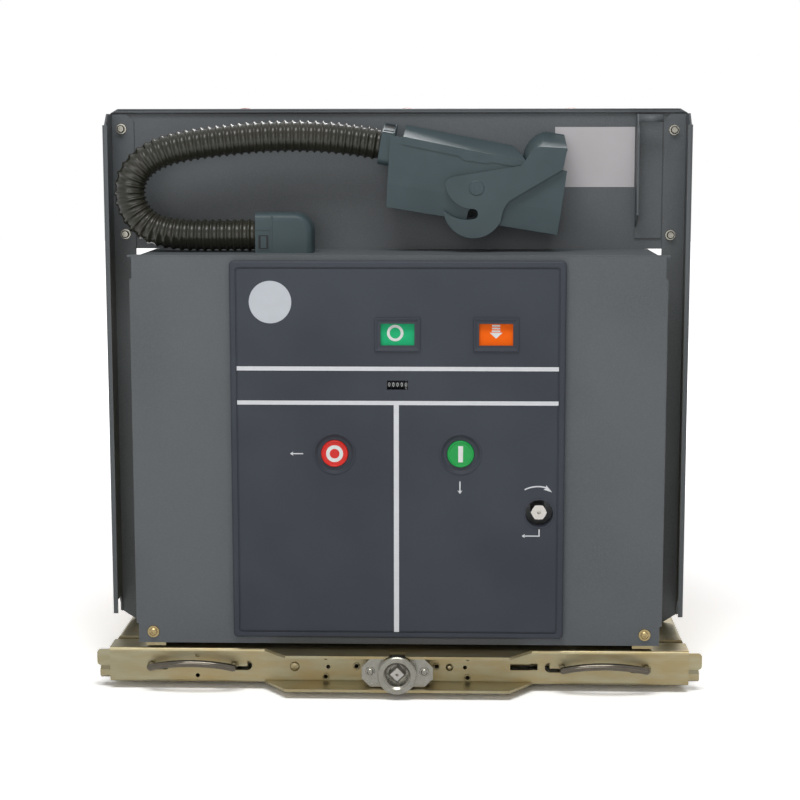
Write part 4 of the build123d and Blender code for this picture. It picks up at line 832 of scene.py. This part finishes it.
def screw_tree():
    """A washer and a head with a cross or hexagon recess on each point, turned at random."""
    tree, source = geometry_tree(
        "screw_on_washer",
        Head_Radius="Float",
        Head_Height="Float",
        Washer_Radius="Float",
        Washer_Height="Float",
        Recess_Radius="Float",
        Recess_Depth="Float",
        Head_Sides="Int",
        Recess_Sides="Int",
        Seed="Int",
        Align="Vector",
    )
    head, cross = source["Head Sides"], source["Recess Sides"]
    # sides, name of the radius, share of it at the top, name of the height, share of it, and how many
    # washer heights, head heights and recess depths the foot is raised by
    shapes = []
    for sides, radius, top_share, height, height_share, raised in (
        (WASHER_SIDES, "Washer Radius", 0.93, "Washer Height", 1.0, (0.0, 0.0, 0.0)),
        (head, "Head Radius", 1.0, "Head Height", STRAIGHT, (1.0, 0.0, 0.0)),
        (head, "Head Radius", 0.74, "Head Height", CROWN, (1.0, STRAIGHT, 0.0)),
        (cross, "Recess Radius", 1.0, "Recess Depth", 2.0, (1.0, 1.0, -1.0)),
    ):
        top = add(tree, "ShaderNodeMath", {0: source[radius], 1: top_share}, operation="MULTIPLY")[0]
        tall = add(tree, "ShaderNodeMath", {0: source[height], 1: height_share}, operation="MULTIPLY")[0]
        lift = 0.0
        for size, share in zip(("Washer Height", "Head Height", "Recess Depth"), raised):
            inputs = {0: source[size], 1: share, 2: lift}
            lift = add(tree, "ShaderNodeMath", inputs, operation="MULTIPLY_ADD")[0]
        inputs = {"Vertices": sides, "Radius Top": top, "Radius Bottom": source[radius], "Depth": tall}
        cone = add(tree, "GeometryNodeMeshCone", inputs)["Mesh"]
        place = add(tree, "ShaderNodeCombineXYZ", {"Z": lift})[0]
        shapes.append(add(tree, "GeometryNodeTransform", {"Geometry": cone, "Translation": place})[0])
    washer, body, crown, recess = shapes
    whole = add(tree, "GeometryNodeMeshBoolean", {"Mesh 2": [body, crown]}, operation="UNION")["Mesh"]
    inputs = {"Mesh 1": whole, "Mesh 2": recess}
    cut = add(tree, "GeometryNodeMeshBoolean", inputs, operation="DIFFERENCE")["Mesh"]
    parts = add(tree, "GeometryNodeJoinGeometry", {"Geometry": [washer, cut]})[0]
    inputs = {"Points": source["Geometry"], "Instance": parts, "Rotation": source["Align"]}
    placed = add(tree, "GeometryNodeInstanceOnPoints", inputs)[0]
    inputs = {"Max": math.pi, "Seed": source["Seed"]}
    turn = add(tree, "FunctionNodeRandomValue", inputs, data_type="FLOAT")[1]
    spin = add(tree, "ShaderNodeCombineXYZ", {"Z": turn})[0]
    inputs = {"Instances": placed, "Rotation": spin, "Local Space": True}
    turned = add(tree, "GeometryNodeRotateInstances", inputs)[0]
    return end_tree(tree, turned, source["Material"])


FRONTWARDS = (math.radians(90), 0.0, 0.0)
UPWARDS = (0.0, 0.0, 0.0)
BACKWARDS = (math.radians(-90), 0.0, 0.0)
screws = screw_tree()
# head radius and height, washer radius and height, recess radius and depth, sides of head and recess
PAN_HEAD = (4.3, 2.9, 7.0, 1.0, 2.0, 1.4, 28, 4)
SOCKET_HEAD = (4.4, 4.6, 6.2, 1.2, 2.4, 2.2, 28, 6)
SMALL_PAN = (3.6, 2.4, 5.4, 0.8, 1.7, 1.2, 28, 4)
SMALL_BOLT = (5.4, 3.8, 7.2, 1.2, 1.0, 0.5, 6, 12)
SIZE_LABELS = (
    "Head Radius", "Head Height", "Washer Radius", "Washer Height", "Recess Radius", "Recess Depth"
)


def screws_at(name, places, align, sizes, screw_finish, body, seed):
    """One piece with a screw at each place."""
    values = {label: size * MM for label, size in zip(SIZE_LABELS, sizes)}
    values.update({"Head Sides": sizes[6], "Recess Sides": sizes[7], "Seed": seed})
    values.update({"Align": align, "Material": screw_finish})
    mesh = apply_tree(points_object(name, places), screws, values, name)
    link(name, mesh, None, body)


cover_screws = [(-275, 0, 66.5), (275, 0, 66.5)]
screws_at("cover_screws", cover_screws, FRONTWARDS, PAN_HEAD, yellow_zinc, "truck", 3)
shield_screws = [(-320.6, 118, 626.1), (-318, 118, 506.1), (310.6, 118, 624.3), (308.4, 118, 505.4)]
screws_at("shield_screws", shield_screws, FRONTWARDS, SOCKET_HEAD, screw_zinc, "truck", 5)
socket_screws = [(-30, -26, 29.8), (30, -26, 29.8)]
screws_at("socket_screws", socket_screws, FRONTWARDS, SMALL_PAN, screw_zinc, "beam", 8)
foot_bolts = [(x + side * 38, 305, z) for x in POLE_X for side in (-1, 1) for z in (222, 448)]
screws_at("pole_foot_bolts", foot_bolts, BACKWARDS, SMALL_BOLT, yellow_zinc, "truck", 21)
roof_screws = [(x, 131, 491.5) for x in (-255, -85, 85, 255)]
screws_at("partition_foot_screws", roof_screws, UPWARDS, SMALL_PAN, yellow_zinc, "truck", 25)

# ---------------------------------------------------------------- garter springs of the contacts
CONTACT_Z = (280, 555)
COIL_RADIUS, WIRE_RADIUS = 1.7, 0.5
COILS_IN_A_RING = 64
STEPS_IN_A_COIL = 7.0
WIRE_SIDES = 5


def garter_tree():
    """A coil spring closed into a ring on each point, with its axis along Y."""
    tree, source = geometry_tree(
        "garter_spring", Ring_Radius="Float", Coil_Radius="Float", Wire_Radius="Float", Coils="Int"
    )
    coils, coil_radius = source["Coils"], source["Coil Radius"]
    count = add(tree, "ShaderNodeMath", {0: coils, 1: STEPS_IN_A_COIL}, operation="MULTIPLY")[0]
    circle_line = add(tree, "GeometryNodeCurvePrimitiveCircle", {"Resolution": count, "Radius": 1.0})[0]
    index = add(tree, "GeometryNodeInputIndex")[0]
    step = add(tree, "ShaderNodeMath", {0: index, 1: count}, operation="DIVIDE")[0]
    around = add(tree, "ShaderNodeMath", {0: step, 1: 2 * math.pi}, operation="MULTIPLY")[0]
    winding = add(tree, "ShaderNodeMath", {0: around, 1: coils}, operation="MULTIPLY")[0]
    outwards = add(tree, "ShaderNodeMath", {0: winding}, operation="COSINE")[0]
    inputs = {0: outwards, 1: coil_radius, 2: source["Ring Radius"]}
    reach = add(tree, "ShaderNodeMath", inputs, operation="MULTIPLY_ADD")[0]
    sideways = add(tree, "ShaderNodeMath", {0: winding}, operation="SINE")[0]
    # one product for each axis: across the ring, along its axis, up the ring
    products = {"Y": (sideways, coil_radius)}
    for axis, wave in (("X", "COSINE"), ("Z", "SINE")):
        products[axis] = (reach, add(tree, "ShaderNodeMath", {0: around}, operation=wave)[0])
    places = {
        axis: add(tree, "ShaderNodeMath", {0: first, 1: second}, operation="MULTIPLY")[0]
        for axis, (first, second) in products.items()
    }
    place = add(tree, "ShaderNodeCombineXYZ", places)[0]
    coil = add(tree, "GeometryNodeSetPosition", {"Geometry": circle_line, "Position": place})[0]
    inputs = {"Resolution": WIRE_SIDES, "Radius": source["Wire Radius"]}
    wire = add(tree, "GeometryNodeCurvePrimitiveCircle", inputs)[0]
    tube = add(tree, "GeometryNodeCurveToMesh", {"Curve": coil, "Profile Curve": wire})[0]
    smooth = add(tree, "GeometryNodeSetShadeSmooth", {"Geometry": tube})[0]
    inputs = {"Points": source["Geometry"], "Instance": smooth}
    placed = add(tree, "GeometryNodeInstanceOnPoints", inputs)[0]
    return end_tree(tree, placed, source["Material"])


# the fingers taper towards their mouth, so the outer spring is the smaller of the two
garter_group = garter_tree()
for label, spring_depth, spring_radius in (("inner", 584.0, 39.2), ("outer", 602.0, 36.6)):
    name = f"{label}_garter_springs"
    values = {
        "Ring Radius": spring_radius * MM,
        "Coil Radius": COIL_RADIUS * MM,
        "Wire Radius": WIRE_RADIUS * MM,
        "Coils": COILS_IN_A_RING,
        "Material": steel,
    }
    places = [(x, spring_depth, z) for x in POLE_X for z in CONTACT_Z]
    springs = apply_tree(points_object(name, places), garter_group, values, name)
    link(name, springs, None, "truck")

# ---------------------------------------------------------------- floor, backdrop and light
FLOOR_GAIN = 1.55  # colour of the ground for camera, mirror and glass rays, so that it reads white
GLOW_NEAR, GLOW_FAR = 0.75, 1.9  # metres from the middle over which the glow of the far ground rises
FLOOR_HALF = 9.0
FLOOR_DROP = 0.0005  # metres below the wheels, so that nothing lies in the plane of the floor
AMBIENT = 0.18


def seen_rays(tree):
    """1 for rays that come from the camera, a mirror or glass, else 0."""
    rays = add(tree, "ShaderNodeLightPath")
    seen = rays["Is Camera Ray"]
    for name in ("Is Glossy Ray", "Is Transmission Ray"):
        seen = add(tree, "ShaderNodeMath", {0: seen, 1: rays[name]}, operation="MAXIMUM")[0]
    return seen


def pale_ground():
    """Pale matt floor that looks white to the camera and to reflections and keeps the shadow."""
    made, tree, shader, place = material("pale_floor")
    seen = seen_rays(tree)
    inputs = {"Vector": place, "Scale": 1000 / 700, "Detail": 2, "Roughness": 0.5}
    tone = add(tree, "ShaderNodeTexNoise", inputs)["Fac"]
    inputs = {0: tone, 6: linear("#f0f0f0"), 7: linear("#f3f3f3")}
    tint = add(tree, "ShaderNodeMix", inputs, data_type="RGBA")[2]
    inputs = {0: seen, 6: tint, 7: (FLOOR_GAIN, FLOOR_GAIN, FLOOR_GAIN, 1.0)}
    tint = add(tree, "ShaderNodeMix", inputs, data_type="RGBA")[2]
    distance = add(tree, "ShaderNodeVectorMath", {0: place}, operation="LENGTH")["Value"]
    inputs = {"Value": distance, "From Min": GLOW_NEAR, "From Max": GLOW_FAR}
    far = add(tree, "ShaderNodeMapRange", inputs)["Result"]
    glow = add(tree, "ShaderNodeMath", {0: seen, 1: far}, operation="MULTIPLY")[0]
    feed(tree, shader, {"Base Color": tint, "Roughness": 0.9, "Specular IOR Level": 0.0})
    feed(tree, shader, {"Emission Color": (1, 1, 1, 1), "Emission Strength": glow})
    return made


work = bmesh.new()
corners = rectangle(-FLOOR_HALF, FLOOR_HALF, -FLOOR_HALF, FLOOR_HALF)
work.faces.new([work.verts.new(Vector((x, y, -FLOOR_DROP))) for x, y in corners])
floor_mesh = bpy.data.meshes.new("floor")
work.to_mesh(floor_mesh)
work.free()
floor = bpy.data.objects.new("floor", floor_mesh)
bpy.context.scene.collection.objects.link(floor)
floor_mesh.materials.append(pale_ground())

world = bpy.data.worlds.new("studio")
bpy.context.scene.world = world
world.use_nodes = True
tree = world.node_tree
background = next(node for node in tree.nodes if node.type == "BACKGROUND")
inputs = {"Value": seen_rays(tree), "To Min": AMBIENT, "To Max": 1.0}
strength = add(tree, "ShaderNodeMapRange", inputs)["Result"]
feed(tree, background, {"Color": (1, 1, 1, 1), "Strength": strength})


def softbox(name, place, aim, size, power):
    """A large rectangular area lamp aimed at a point."""
    data = bpy.data.lights.new(name, "AREA")
    data.shape = "RECTANGLE"
    data.size, data.size_y = size
    data.energy = power
    lamp = bpy.data.objects.new(name, data)
    lamp.location = place
    lamp.rotation_euler = (Vector(aim) - Vector(place)).to_track_quat("-Z", "Y").to_euler()
    bpy.context.scene.collection.objects.link(lamp)


# place, aim and size in metres, power in watts
softbox("key", (-0.1, -1.5, 2.7), (0, -0.1, 0.35), (1.8, 0.9), 46)
softbox("fill", (-0.4, -3.2, 1.0), (0, 0, 0.3), (1.8, 1.4), 20)
softbox("rear", (0.6, 2.4, 2.2), (0, 0, 0.35), (1.8, 1.0), 36)

scene = bpy.context.scene
scene.view_settings.view_transform = "Standard"
